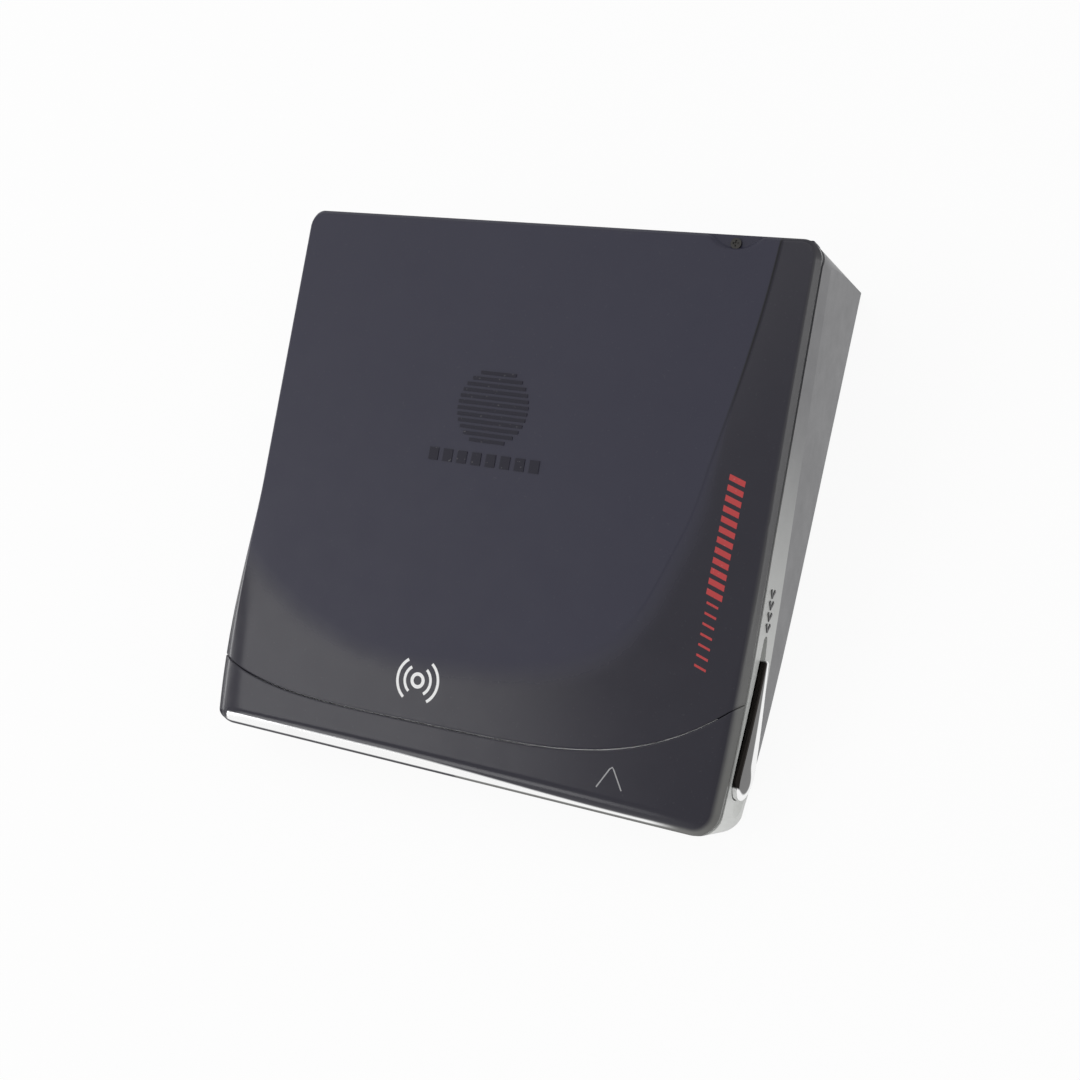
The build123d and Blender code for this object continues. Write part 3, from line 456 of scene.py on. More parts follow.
def noise(tree, vector, scale, detail=3.0, rough=0.5):
    """Noise texture at a scale in cycles per metre."""
    node = tree.nodes.new("ShaderNodeTexNoise")
    feed(tree, scale, node.inputs["Scale"])
    node.inputs["Detail"].default_value = detail
    node.inputs["Roughness"].default_value = rough
    tree.links.new(vector, node.inputs["Vector"])
    return node.outputs["Fac"]


def mix(tree, kind, share, first, second):
    """Colour or number between two others, for a kind of RGBA or FLOAT; each is a socket or a value."""
    start, result = {"FLOAT": (2, 0), "RGBA": (6, 2)}[kind]
    node = tree.nodes.new("ShaderNodeMix")
    node.data_type = kind
    tree.links.new(share, node.inputs["Factor"])
    feed(tree, first, node.inputs[start])
    feed(tree, second, node.inputs[start + 1])
    return node.outputs[result]


def mix_colour(tree, share, first, second):
    """Colour between two colours; each is a socket or three numbers."""
    first, second = (value if hasattr(value, "links") else (*value, 1) for value in (first, second))
    return mix(tree, "RGBA", share, first, second)


def finish_group(group, given, result, colour, texture, sway, marks, height, depth, distance):
    """Joins a shared group's results.

    The roughness sways with a texture and rises at the marks, and the height gives a fine bump to the normal.
    """
    group.links.new(colour, result.inputs["Colour"])
    rough = math_node(group, "MULTIPLY", math_node(group, "SUBTRACT", texture, 0.5), sway)
    rough = math_node(group, "ADD", rough, given.outputs["Roughness"])
    rough = math_node(group, "ADD", rough, marks, clamp=True)
    group.links.new(rough, result.inputs["Roughness"])
    bump = group.nodes.new("ShaderNodeBump")
    bump.inputs["Distance"].default_value = distance
    group.links.new(given.outputs[depth], bump.inputs["Strength"])
    group.links.new(height, bump.inputs["Height"])
    group.links.new(bump.outputs["Normal"], result.inputs["Normal"])
    return group


def surface_wear_group():
    """Moulded or painted surface: fine grain, cloudy handling marks, dust specks and hairline scratches."""
    group, given, result = group_tree(
        "Surface Wear",
        colour=(0.1, 0.1, 0.1),
        roughness=0.5,
        grain_scale=9000.0,
        grain_depth=0.3,
        cloud_amount=0.06,
        dust_amount=0.3,
        scratch_amount=0.2,
    )
    place = own_place(group)
    grain = noise(group, place, given.outputs["Grain Scale"], 2.0)
    cloud = noise(group, place, 55.0, 4.0, 0.55)
    smear = noise(group, place, 260.0, 5.0, 0.65)
    speck = noise(group, place, 2600.0, 1.0, 0.4)
    hair_place = stretched(group, place, rotation=(0.3, 0.2, 0.9), scale=(1.0, 60.0, 1.0))
    hair = noise(group, hair_place, 90.0, 3.0, 0.6)
    dust = math_node(group, "GREATER_THAN", speck, 0.735)
    dust = math_node(group, "MULTIPLY", dust, given.outputs["Dust Amount"])
    scratch = math_node(group, "GREATER_THAN", hair, 0.74)
    scratch = math_node(group, "MULTIPLY", scratch, given.outputs["Scratch Amount"])
    shade = math_node(group, "SUBTRACT", cloud, 0.5)
    shade = math_node(group, "MULTIPLY", shade, given.outputs["Cloud Amount"])
    tinted = scaled(group, given.outputs["Colour"], math_node(group, "MULTIPLY_ADD", shade, 2.0, 1.0))
    marks = math_node(group, "MULTIPLY", math_node(group, "MAXIMUM", dust, scratch), 0.35)
    colour = mix_colour(group, marks, tinted, (0.5, 0.5, 0.5))
    return finish_group(group, given, result, colour, smear, 0.16, marks, grain, "Grain Depth", 0.02 * MM)


def brushed_group():
    """Drawn or rolled metal: fine lines along one direction in roughness and height, with faint staining."""
    group, given, result = group_tree(
        "Drawn Metal", colour=(0.6, 0.6, 0.6), roughness=0.3, line_depth=0.15, stain_amount=0.1
    )
    place = own_place(group)
    lines = noise(group, stretched(group, place, scale=(1.0, 25.0, 25.0)), 300.0, 4.0, 0.6)
    stain = noise(group, place, 140.0, 4.0, 0.6)
    stain = math_node(group, "MULTIPLY", stain, given.outputs["Stain Amount"])
    colour = mix_colour(group, stain, given.outputs["Colour"], (0.12, 0.1, 0.08))
    return finish_group(group, given, result, colour, lines, 0.2, stain, lines, "Line Depth", 0.01 * MM)


def use_group(tree, shader, group, **values):
    """Places a shared group in a material, sets its inputs and joins its outputs to the shader."""
    node = tree.nodes.new("ShaderNodeGroup")
    node.node_tree = group
    for name, value in values.items():
        feed(tree, value, node.inputs[name.replace("_", " ").title()])
    for output, target in (("Colour", "Base Color"), ("Roughness", "Roughness"), ("Normal", "Normal")):
        tree.links.new(node.outputs[output], shader.inputs[target])


def wear():
    """The shared worn-surface group, made once."""
    return bpy.data.node_groups.get("Surface Wear") or surface_wear_group()


def drawn():
    """The shared drawn-metal group, made once."""
    return bpy.data.node_groups.get("Drawn Metal") or brushed_group()


def moulded(name, colour, roughness, grain=0.3, grain_scale=9000.0, shine=0.5, **extra):
    """Moulded plastic or rubber with the shared worn surface."""
    material, tree, shader = fresh_material(name)
    extra.update(colour=(*colour, 1), roughness=roughness, grain_depth=grain, grain_scale=grain_scale)
    use_group(tree, shader, wear(), **extra)
    shader.inputs["Specular IOR Level"].default_value = shine
    return material


def metal(name, colour, roughness, lines=0.15, stain=0.1):
    """Bare metal with drawn lines and faint staining."""
    material, tree, shader = fresh_material(name)
    use_group(
        tree, shader, drawn(), colour=(*colour, 1), roughness=roughness, line_depth=lines, stain_amount=stain
    )
    shader.inputs["Metallic"].default_value = 1.0
    return material


def lid_paint(colours):
    """Painted lid: matte blue-grey inside the crease, darker and glossier outside it, with painted shade
    along the crease's step, a painted highlight on the front facet and a paler painted highlight along the
    right edge.

    The mesh's own attributes say where each finish lies.
    """
    material, tree, shader = fresh_material("Lid Paint")
    masks = {}
    for name in ("apron", "groove", "facet_highlight", "edge"):
        node = tree.nodes.new("ShaderNodeAttribute")
        node.attribute_name = name
        masks[name] = node.outputs["Fac"]
    colour = mix_colour(tree, masks["apron"], colours.lid_panel, colours.lid_apron)
    # Painted highlight along the right edge.
    colour = mix_colour(tree, masks["edge"], colour, colours.lid_edge_highlight)
    # Painted shade: near-black along the crease's step.
    dark = math_node(tree, "MULTIPLY", masks["groove"], 0.95)
    colour = mix_colour(tree, dark, colour, (0.008, 0.008, 0.009))
    # Painted highlight: near-white, glossy and metallic band on the front facet.
    colour = mix_colour(tree, masks["facet_highlight"], colour, colours.facet_highlight)
    rough = mix(tree, "FLOAT", masks["apron"], 0.48, 0.2)
    rough = mix(tree, "FLOAT", masks["facet_highlight"], rough, 0.14)
    worn = {"grain_depth": 0.25, "grain_scale": 7000.0, "cloud_amount": 0.05, "dust_amount": 0.04}
    use_group(tree, shader, wear(), colour=colour, roughness=rough, scratch_amount=0.02, **worn)
    tree.links.new(math_node(tree, "MULTIPLY", masks["facet_highlight"], 0.95), shader.inputs["Metallic"])
    shader.inputs["Specular IOR Level"].default_value = 0.22
    return material


def shared_paint():
    """The lid's paint, made once."""
    return bpy.data.materials.get("Lid Paint") or lid_paint(finish_colours())


def deck_place(tree, sizes):
    """Sockets with a point's place in the lid's own level frame, in millimetres."""
    turn, shift = deck_matrix(sizes)
    tilt = math.atan2(turn[2, 1], turn[1, 1])
    place = stretched(tree, own_place(tree), location=-turn.T @ shift, rotation=(-tilt, 0, 0))
    split = tree.nodes.new("ShaderNodeSeparateXYZ")
    tree.links.new(scaled(tree, place, 1 / MM), split.inputs["Vector"])
    return split.outputs


def weighted(tree, y, z, along, across, add):
    """Linear function of two sockets: along * y + across * z + add."""
    return math_node(tree, "MULTIPLY_ADD", z, across, math_node(tree, "MULTIPLY_ADD", y, along, add))


def ramp(tree, value, low, high):
    """Smooth mask that is 0 up to `low` and 1 from `high`."""
    node = tree.nodes.new("ShaderNodeMapRange")
    node.interpolation_type = "SMOOTHSTEP"
    node.inputs["From Min"].default_value = low
    node.inputs["From Max"].default_value = high
    tree.links.new(value, node.inputs["Value"])
    return node.outputs["Result"]


def catch_chrome(colours, sizes):
    """Plated catch: near-black on its face as a painted dark reflection, with a bright rim as a painted
    highlight along its lower edge and round its broad front end.

    The rim is where the distance past the lower tangent line, or past the front circle, is near zero.
    """
    material, tree, shader = fresh_material("Catch Chrome")
    _, y, z = deck_place(tree, sizes)
    rim_slope, rim_depth, rim_width = 0.11, 2.5, 0.9
    front_y, front_z, front_radius = -31.0, -6.9, 3.1
    tail_y, tail_z, tail_radius = -16.0, -5.3, 0.6
    span = math.hypot(tail_y - front_y, tail_z - front_z)
    uy, uz = (tail_y - front_y) / span, (tail_z - front_z) / span
    narrowing = (front_radius - tail_radius) / span
    along = weighted(tree, y, z, uy, uz, -front_y * uy - front_z * uz)
    down = weighted(tree, y, z, uz, -uy, -front_y * uz + front_z * uy)
    lower = weighted(tree, down, along, 1.0, narrowing - rim_slope, rim_depth - front_radius)
    reach = math_node(tree, "POWER", along, 2.0)
    reach = math_node(tree, "ADD", reach, math_node(tree, "POWER", down, 2.0))
    radial = math_node(tree, "SUBTRACT", math_node(tree, "SQRT", reach), front_radius - rim_width)
    before = ramp(tree, along, 2.5, -2.5)
    rim = ramp(tree, mix(tree, "FLOAT", before, lower, radial), -0.2, 0.2)
    # Painted reflection: the chrome is near-black on the face and bright only on the rim, where the highlight
    # falls.
    colour = mix_colour(tree, rim, colours.dark_reflection, colours.chrome)
    use_group(tree, shader, drawn(), colour=colour, roughness=0.08, line_depth=0.01, stain_amount=0.0)
    shader.inputs["Metallic"].default_value = 1.0
    return material


def case_plastic(colours, sizes):
    """Moulded case with a painted highlight: paler above the facet line towards the catch and at the right
    front corner, where these faces catch the light.
    """
    material, tree, shader = fresh_material("Housing Plastic")
    x, y, z = deck_place(tree, sizes)
    facet_slope, facet_drop, softness = 0.0747, 8.25, 0.06
    above = ramp(tree, weighted(tree, y, z, -facet_slope, 1.0, facet_drop), -softness, softness)
    right = ramp(tree, x, 36.0, 38.5)
    frontward = ramp(tree, y, 22.0, -20.0)
    # Painted highlight: the case is lightened above the facet line on its right side towards the front, and
    # at the right front corner.
    light = math_node(tree, "MULTIPLY", math_node(tree, "MULTIPLY", above, right), frontward)
    corner = math_node(tree, "MULTIPLY", ramp(tree, y, -30.0, -35.0), right)
    light = math_node(tree, "MAXIMUM", math_node(tree, "MULTIPLY", light, 0.8), corner)
    colour = mix_colour(tree, light, colours.case, colours.case_highlight)
    worn = {"grain_depth": 0.2, "dust_amount": 0.03, "scratch_amount": 0.02}
    use_group(tree, shader, wear(), colour=colour, roughness=0.36, **worn)
    return material


def lens_glass():
    """Clear moulded lens with a faint violet coating."""
    material, tree, shader = fresh_material("Lens Glass")
    shader.inputs["Base Color"].default_value = (0.92, 0.94, 1.0, 1)
    shader.inputs["Transmission Weight"].default_value = 1.0
    shader.inputs["IOR"].default_value = 1.5
    shader.inputs["Coat Weight"].default_value = 0.5
    rough = math_node(tree, "MULTIPLY", noise(tree, own_place(tree), 900.0), 0.05)
    tree.links.new(rough, shader.inputs["Roughness"])
    return material


# ---------------------------------------------------------------- settings
def length(name, description, millimetres):
    """A length property with its default in millimetres."""
    return bpy.props.FloatProperty(
        name=name, description=description, default=millimetres * MM, unit="LENGTH", precision=5
    )


def colour(name, description, default):
    """A linear colour property."""
    return bpy.props.FloatVectorProperty(
        name=name, description=description, default=default, subtype="COLOR", size=3, min=0, max=1
    )


def power(name, description, watts):
    """A lamp's power property."""
    return bpy.props.FloatProperty(name=name, description=description, default=watts, unit="POWER")


class LidSizes(bpy.types.PropertyGroup):
    """Sizes that the lid's surface is worked out from."""

    case_width: length("Case Width", "Width of the player", 81.0)
    case_depth: length("Case Depth", "Depth of the player along its lid", 79.0)
    rear_height: length("Rear Height", "Height at the hinge", 26.0)
    front_height: length("Front Height", "Height at the thin end", 11.5)
    hinge_inset: length("Hinge Inset", "Hinge line in front of the rear face", 2.6)
    hinge_drop: length("Hinge Drop", "Hinge line below the lid's face", 3.6)
    reveal: length("Reveal", "Lid set in from the case on each side", 0.15)
    left_bulge: length("Left Bulge", "Swelling of the left side", 1.2)
    right_taper: length("Right Taper", "Drawing in of the right front", 1.3)
    bulge_start: length("Bulge Start", "Depth where both sides leave straight", -2.0)
    rear_radius: length("Rear Corner", "Radius of the rear corners", 2.65)
    front_left_radius: length("Front Left Corner", "Radius of the front left corner", 1.85)
    front_right_radius: length("Front Right Corner", "Radius of the front right corner", 3.45)
    bevel_width: length("Bevel Width", "Width of the side bevel", 0.9)
    bevel_drop: length("Bevel Drop", "Fall of the side bevel", 1.2)
    bevel_widening: length("Bevel Widening", "Extra width of the side bevel in front", 0.9)
    bevel_deepening: length("Bevel Deepening", "Extra fall of the side bevel in front", 1.2)
    front_facet_depth: length("Front Facet Depth", "Depth of the sloping front facet", 2.4)
    front_facet_height: length("Front Facet Height", "Fall of the sloping front facet", 2.9)
    rear_radius_edge: length("Rear Edge Radius", "Rounding of the rear edge", 0.6)
    crease_step: length("Crease Step", "Step at the crease beside the hinge", 0.22)
    apron_slope: bpy.props.FloatProperty(name="Apron Slope", description="Fall of the apron", default=0.036)
    left_roll: length("Left Roll", "Soft fall of the left front side", 1.0)
    right_roll: length("Right Roll", "Soft fall of the right front corner", 0.55)
    screw_x: length("Screw Place", "Screw right of the middle", 28.6)
    pocket_drop: length("Pocket Drop", "Depth of the screw's scallop", 0.7)
    thickness: length("Thickness", "Thickness of the lid's top", 1.2)
    wall: length("Wall", "Thickness of the lid's skirt", 1.2)
    rear_skirt: length("Rear Skirt", "Height of the lid's edge behind", 1.6)
    front_skirt: length("Front Skirt", "Height of the lid's edge in front", 3.3)
    seam_gap: length("Seam Gap", "Width of the arc-shaped seam", 0.14)


class FinishColours(bpy.types.PropertyGroup):
    """Colours of the player's surfaces, linear."""

    lid_panel: colour("Lid Panel", "Matte paint inside the crease", (0.025, 0.0245, 0.041))
    lid_apron: colour("Lid Apron", "Glossier paint outside the crease", (0.021, 0.020, 0.029))
    case: colour("Case", "Moulded lower case", (0.072, 0.072, 0.078))
    # Painted highlight on the case above the facet line and at the right front corner.
    case_highlight: colour("Case Highlight", "Case above the facet line beside the catch", (0.60, 0.61, 0.59))
    buttons: colour("Buttons", "Side buttons and slide switches", (0.05, 0.05, 0.056))
    # Painted highlight along the lid's right edge, not a paler paint.
    lid_edge_highlight: colour("Lid Edge Highlight", "Paler paint along the lid's right edge", (0.14, 0.14, 0.135))
    # Painted highlight along the front facet.
    facet_highlight: colour("Front Highlight", "Bright band along the front facet", (0.93, 0.93, 0.93))
    # The catch's chrome: bright on its rim as a painted highlight, near-black on its face as a painted dark
    # reflection.
    chrome: colour("Chrome", "Plated rim of the catch", (0.90, 0.90, 0.90))
    dark_reflection: colour("Catch Dark Reflection", "Darker face of the catch", (0.016, 0.014, 0.013))
    # Painted shade: the raised chevrons are near-black for the shadow of their relief.
    marks: colour("Raised Marks", "Raised chevrons beside the catch", (0.02, 0.02, 0.022))
    white_print: colour("White Print", "Light printed marks", (0.78, 0.78, 0.78))
    grey_print: colour("Grey Print", "Arrow on the front cap", (0.30, 0.30, 0.31))
    red_print: colour("Red Print", "Red printed bars", (0.38, 0.02, 0.022))


class StudioSettings(bpy.types.PropertyGroup):
    """Camera, lamps and backdrop."""

    lens: bpy.props.FloatProperty(name="Lens", description="Focal length in mm", default=50.497)
    floor: colour("Floor", "Colour of the floor", (0.8, 0.8, 0.8))
    key_power: power("Key Power", "Large soft lamp", 1.6)
    left_power: power("Left Power", "Lamp at the left", 2.1)
    rim_power: power("Rim Power", "Low left lamp", 2.0)
    fill_power: power("Fill Power", "Lamp in front", 1.6)
    side_power: power("Side Power", "Lamp at the right", 1.3)
    world_strength: bpy.props.FloatProperty(name="World", description="Light from all round", default=0.55)


def lid_sizes():
    return bpy.context.scene.player_lid


def finish_colours():
    return bpy.context.scene.player_colours


def studio_settings():
    return bpy.context.scene.player_studio


# ---------------------------------------------------------------- printed and raised marks
def stroke(points, width, closed=False):
    """Flat band along a line of points in the lid's plane: each point gives one vertex to either side of it.

    The side direction is square to the line through the neighbouring points.
    """
    points = np.asarray(points, float)
    if closed:
        ahead, behind = np.roll(points, -1, 0), np.roll(points, 1, 0)
    else:
        ahead = np.vstack([points[1:], 2 * points[-1] - points[-2]])
        behind = np.vstack([2 * points[0] - points[1], points[:-1]])
    along = ahead - behind
    along /= np.linalg.norm(along, axis=1, keepdims=True)
    side = np.column_stack([along[:, 1], -along[:, 0]]) * width / 2
    vertices = np.stack([points - side, points + side], 1).reshape(-1, 2)
    count = len(points)
    here = np.arange(count if closed else count - 1)
    beside = (here + 1) % count
    faces = np.column_stack([2 * here, 2 * here + 1, 2 * beside + 1, 2 * beside])
    return vertices, faces


def slab(quads, top, bottom):
    """Closed slab between two copies of a flat shape: top, turned bottom and a wall round its border."""
    count = len(top)
    edges = np.concatenate([quads[:, [i, (i + 1) % 4]] for i in range(4)]).tolist()
    keys = {tuple(edge) for edge in edges}
    border = [edge for edge in edges if (edge[1], edge[0]) not in keys]
    faces = quads.tolist() + (quads[:, ::-1] + count).tolist()
    faces += [(b, a, a + count, b + count) for a, b in border]
    return np.vstack([top, bottom]), faces


def joined(slabs):
    """Several meshes as one: their vertices in a row and their faces renumbered to match."""
    vertices, faces, start = [], [], 0
    for points, polygons in slabs:
        vertices.append(points)
        faces += [[index + start for index in polygon] for polygon in polygons]
        start += len(points)
    return np.vstack(vertices), faces


def raised_on_side(outlines, lid, lift, thick):
    """Flat shapes given as depth and height, laid on the case's right side and raised a little from it."""
    slabs = []
    for flat, quads in outlines:
        outer = side_limits(flat[:, 0], lid)[1] + lid.reveal + lift
        slabs.append(slab(quads, np.column_stack([outer, flat]), np.column_stack([outer - thick, flat])))
    return joined(slabs)


def laid_on_lid(outlines, lid, lift, thick):
    """Flat shapes raised to a given height over the lid's face and given a thickness, as one closed mesh.

    Each shape is a pair of plane vertices and faces, and its underside is a copy of it lower down.
    """
    slabs = []
    for flat, quads in outlines:
        z = lid_height(flat[:, 0], flat[:, 1], lid) + lift
        slabs.append(slab(quads, np.column_stack([flat, z]), np.column_stack([flat, z - thick])))
    return joined(slabs)


def on_circle(centre, radius, angle):
    """Points at the given angles round a centre."""
    return centre + radius * np.column_stack([np.cos(angle), np.sin(angle)])


def bar(cx, cy, along, across, angle=0.0, slant=0.0):
    """Rectangle as plane vertices and one face, turned by an angle and sheared by a slant."""
    corners = np.array([(-1, -1), (1, -1), (1, 1), (-1, 1)], float) * (along / 2, across / 2)
    corners[:, 0] += slant * corners[:, 1]
    c, s = math.cos(angle), math.sin(angle)
    return corners @ np.array([(c, s), (-s, c)]) + (cx, cy), np.array([(0, 1, 2, 3)])


# ---------------------------------------------------------------- operators
class PLAYER_OT_lid(bpy.types.Operator):
    """Builds the lid's panel and front cap as smooth surfaces with crease, apron, seam and screw scallop"""

    bl_idname = "player.lid"
    bl_label = "Lid Surface"

    def execute(self, context):
        lid, paint = lid_sizes(), shared_paint()
        gap, end = lid.seam_gap / 2, lid.case_depth / 2
        behind = (lambda x: seam_depth(x, lid) + gap, lambda x: np.full_like(x, end))
        ahead = (lambda x: np.full_like(x, -end), lambda x: seam_depth(x, lid) - gap)
        spans = (
            ("lid_surface", "lid_panel", behind, (250, 250), 0),
            ("cap_surface", "front_cap", ahead, (250, 80), -1),
        )
        for name, node, (near, far), (across, along), seam_row in spans:
            x, y = into_corners(*lid_sheet(lid, near, far, across, along), lid)
            vertices, faces = shell_from_sheet(x, y, lid, seam_row)
            piece = new_piece(name, to_frame(vertices, lid), faces, paint, "lid", smooth=28)
            for attribute, values in lid_masks(vertices, lid).items():
                mask = piece.data.attributes.new(attribute, "FLOAT", "POINT")
                mask.data.foreach_set("value", values.astype(np.float32))
            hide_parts(node)
        return {"FINISHED"}


class PLAYER_OT_hinge_bead(bpy.types.Operator):
    """Builds the curled hinge bead under the lid's rear edge"""

    bl_idname = "player.hinge_bead"
    bl_label = "Hinge Bead"

    def execute(self, context):
        lid = lid_sizes()
        end_gap, skin, overlap_angle = 1.6 * MM, 1.0 * MM, 0.6
        half = lid.case_width / 2 - end_gap
        centre = np.array((lid.case_depth / 2 - lid.hinge_inset, -lid.hinge_drop))
        angle = np.linspace(-0.5 * np.pi - overlap_angle, 0.0, 22)
        outer, inner = (
            np.vstack([on_circle(centre, reach, angle), (centre[0] + reach, -lid.thickness)])
            for reach in (lid.hinge_inset, lid.hinge_inset - skin)
        )
        profile = np.vstack([outer, inner[::-1]])
        count = len(profile)
        vertices = np.vstack([np.column_stack([np.full(count, end), profile]) for end in (-half, half)])
        faces = grid_faces(2, count, wrap=True)[:, ::-1].tolist()
        index = np.arange(len(outer) - 1)
        end = np.column_stack([index, index + 1, count - 2 - index, count - 1 - index])
        faces += [*end[:, ::-1].tolist(), *(end + count).tolist()]
        paint = shared_paint()
        new_piece("hinge_bead", to_frame(vertices, lid), faces, paint, "lid", smooth=35)
        return {"FINISHED"}


def arrow_shapes():
    """Insertion arrow: one line with a softened point."""
    line_width = 0.17 * MM
    points = np.array([(22.4, -35.9), (23.9, -33.2), (24.25, -32.9), (24.5, -33.2), (26.0, -35.7)]) * MM
    return [stroke(points, line_width)]


def ring_shapes():
    """Light rings: a small closed ring with two arcs to each side of it."""
    centre = np.array((-7.0, -27.1)) * MM
    ring_radius, ring_width, arc_width, half_angle = 0.9 * MM, 0.5 * MM, 0.42 * MM, 0.95
    turn = np.linspace(0, 2 * np.pi, 40, endpoint=False)
    shapes = [stroke(on_circle(centre, ring_radius, turn), ring_width, closed=True)]
    for radius in (2.1 * MM, 3.3 * MM):
        for middle in (0.0, np.pi):
            arc = np.linspace(middle - half_angle, middle + half_angle, 26)
            shapes.append(stroke(on_circle(centre, radius, arc), arc_width))
    return shapes


def red_shapes():
    """Row of slanted bars from the front to the rear, the first third of them thinner and shorter."""
    low, high, count, slant = np.array((33.9, -17.8)) * MM, np.array((34.6, 7.0)) * MM, 19, 0.3
    thin, bold = (0.32 * MM, 1.7 * MM), (0.78 * MM, 2.3 * MM)
    angle = math.atan2(high[1] - low[1], high[0] - low[0])
    shares = np.linspace(0.0, 1.0, count)
    sizes = [bold if share > 0.36 else thin for share in shares]
    return [bar(*(low + (high - low) * share), *size, angle, slant) for share, size in zip(shares, sizes)]


def disc_shapes():
    """Striped disc, each stripe as long as the circle's chord there, over a row of small blocks."""
    centre_x, centre_y, radius, pitch = -2.9 * MM, 12.6 * MM, 5.6 * MM, 0.88 * MM
    stripe, block, block_y = 0.46 * MM, (1.5 * MM, 1.8 * MM), 5.1 * MM
    heights = np.arange(-5.5, 6.0, 1.0) * pitch
    shapes = [bar(centre_x, centre_y + y, 2 * math.sqrt(radius**2 - y**2), stripe) for y in heights]
    return shapes + [bar(x, block_y, *block) for x in np.linspace(-11.0, 5.2, 8) * MM]


class PLAYER_OT_marks(bpy.types.Operator):
    """Lays the printed and raised marks on the lid: arrow, light rings, red bars and a striped disc"""

    bl_idname = "player.marks"
    bl_label = "Lid Marks"

    def execute(self, context):
        lid, colours = lid_sizes(), finish_colours()
        white = moulded("White Print", colours.white_print, 0.5, grain=0.1)
        red = moulded("Red Print", colours.red_print, 0.5, grain=0.1)
        # Painted shade: the raised disc is real relief, and it takes the darker apron paint and less shine
        # than the panel, for the shadows of its stripes.
        relief = moulded("Relief Paint", colours.lid_apron, 0.5, grain_scale=7000.0, shine=0.12)
        grey = moulded("Grey Print", colours.grey_print, 0.5, grain=0.1)
        printed, raised = (0.012 * MM, 0.03 * MM), (0.09 * MM, 0.14 * MM)
        marks = (
            ("arrow_mark", arrow_shapes(), grey, printed),
            ("ring_mark", ring_shapes(), white, printed),
            ("red_bars", red_shapes(), red, printed),
            ("striped_disc", disc_shapes(), relief, raised),
        )
        for name, shapes, material, (lift, thick) in marks:
            vertices, faces = laid_on_lid(shapes, lid, lift, thick)
            new_piece(name, to_frame(vertices, lid), faces, material, "lid")
        return {"FINISHED"}


class PLAYER_OT_chevrons(bpy.types.Operator):
    """Raises four chevrons on the case's right side behind the catch, pointing to the front"""

    bl_idname = "player.chevrons"
    bl_label = "Catch Chevrons"

    def execute(self, context):
        lid, colours = lid_sizes(), finish_colours()
        # Painted shade: near-black for the shadow of the chevrons' relief.
        dark = moulded("Raised Marks", colours.marks, 0.4, grain=0.1)
        line_width, lift, thick = 0.42 * MM, 0.12 * MM, 0.2 * MM
        chevron = np.array([(0.5, 0.8), (-0.4, 0.0), (0.5, -0.8)]) * MM
        rear, front, count = (-6.7, -4.6), (-11.2, -5.0), 4
        shapes = [stroke(chevron + place, line_width) for place in np.linspace(rear, front, count) * MM]
        vertices, faces = raised_on_side(shapes, lid, lift, thick)
        new_piece("catch_chevrons", to_frame(vertices, lid), faces, dark, "case")
        return {"FINISHED"}


class PLAYER_OT_finishes(bpy.types.Operator):
    """Gives every solid of the frame its finish"""

    bl_idname = "player.finishes"
    bl_label = "Finishes"

    def execute(self, context):
        colours = finish_colours()
        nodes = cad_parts
        lid = lid_sizes()
        case = case_plastic(colours, lid)
        button = moulded("Button Plastic", colours.buttons, 0.32, grain=0.12)
        inner = moulded("Inner Plastic", (0.03, 0.03, 0.032), 0.5)
        rubber = moulded("Rubber", (0.02, 0.02, 0.02), 0.85, grain=0.6)
        paint = shared_paint()
        chrome = catch_chrome(colours, lid)
        steel = metal("Stamped Steel", (0.56, 0.56, 0.57), 0.34)
        pins = metal("Ground Steel", (0.66, 0.66, 0.67), 0.2, lines=0.08)
        black = metal("Blackened Screws", (0.03, 0.03, 0.03), 0.38)
        nickel = metal("Nickel", (0.7, 0.67, 0.58), 0.24)
        cast = metal("Cast Metal", (0.5, 0.5, 0.52), 0.42, lines=0.05, stain=0.2)
        board = moulded("Board Lacquer", (0.012, 0.11, 0.04), 0.3, grain=0.2, grain_scale=3000.0)
        chip = moulded("Chip Resin", (0.018, 0.018, 0.02), 0.55)
        lens = lens_glass()
        finishes = {
            case: "case_body bottom_cover battery_door",
            paint: "lid_panel front_cap",
            button: "play_button stop_button previous_button next_button volume_up_button volume_down_button "
            "hold_knob bass_knob",
            inner: "battery_trough phones_jack dc_jack hold_switch bass_switch turntable sled_nut screw_gear "
            "motor_pinion",
            rubber: "rubber_feet deck_dampers",
            chrome: "open_slider",
            steel: "lid_plate lid_hook cartridge_holder latch_plate deck_plate screw_bracket spindle_motor "
            "sled_motor",
            pins: "hinge_pins holder_pins guide_rods lead_screw dc_jack_pin",
            black: "lid_screw bottom_screws deck_screws board_screws",
            nickel: "battery_plate battery_spring dome_contacts lid_springs latch_spring pressure_springs "
            "chucking_magnet",
            cast: "pickup_sled lens_holder",
            board: "main_board control_board",
            chip: "board_chips",
            lens: "objective_lens",
        }
        for material, names in finishes.items():
            for name in names.split():
                nodes[name].data.materials.clear()
                nodes[name].data.materials.append(material)
        left = sorted(set(nodes) - set(" ".join(finishes.values()).split()))
        if left:
            raise RuntimeError(f"no finish for {left}")
        return {"FINISHED"}


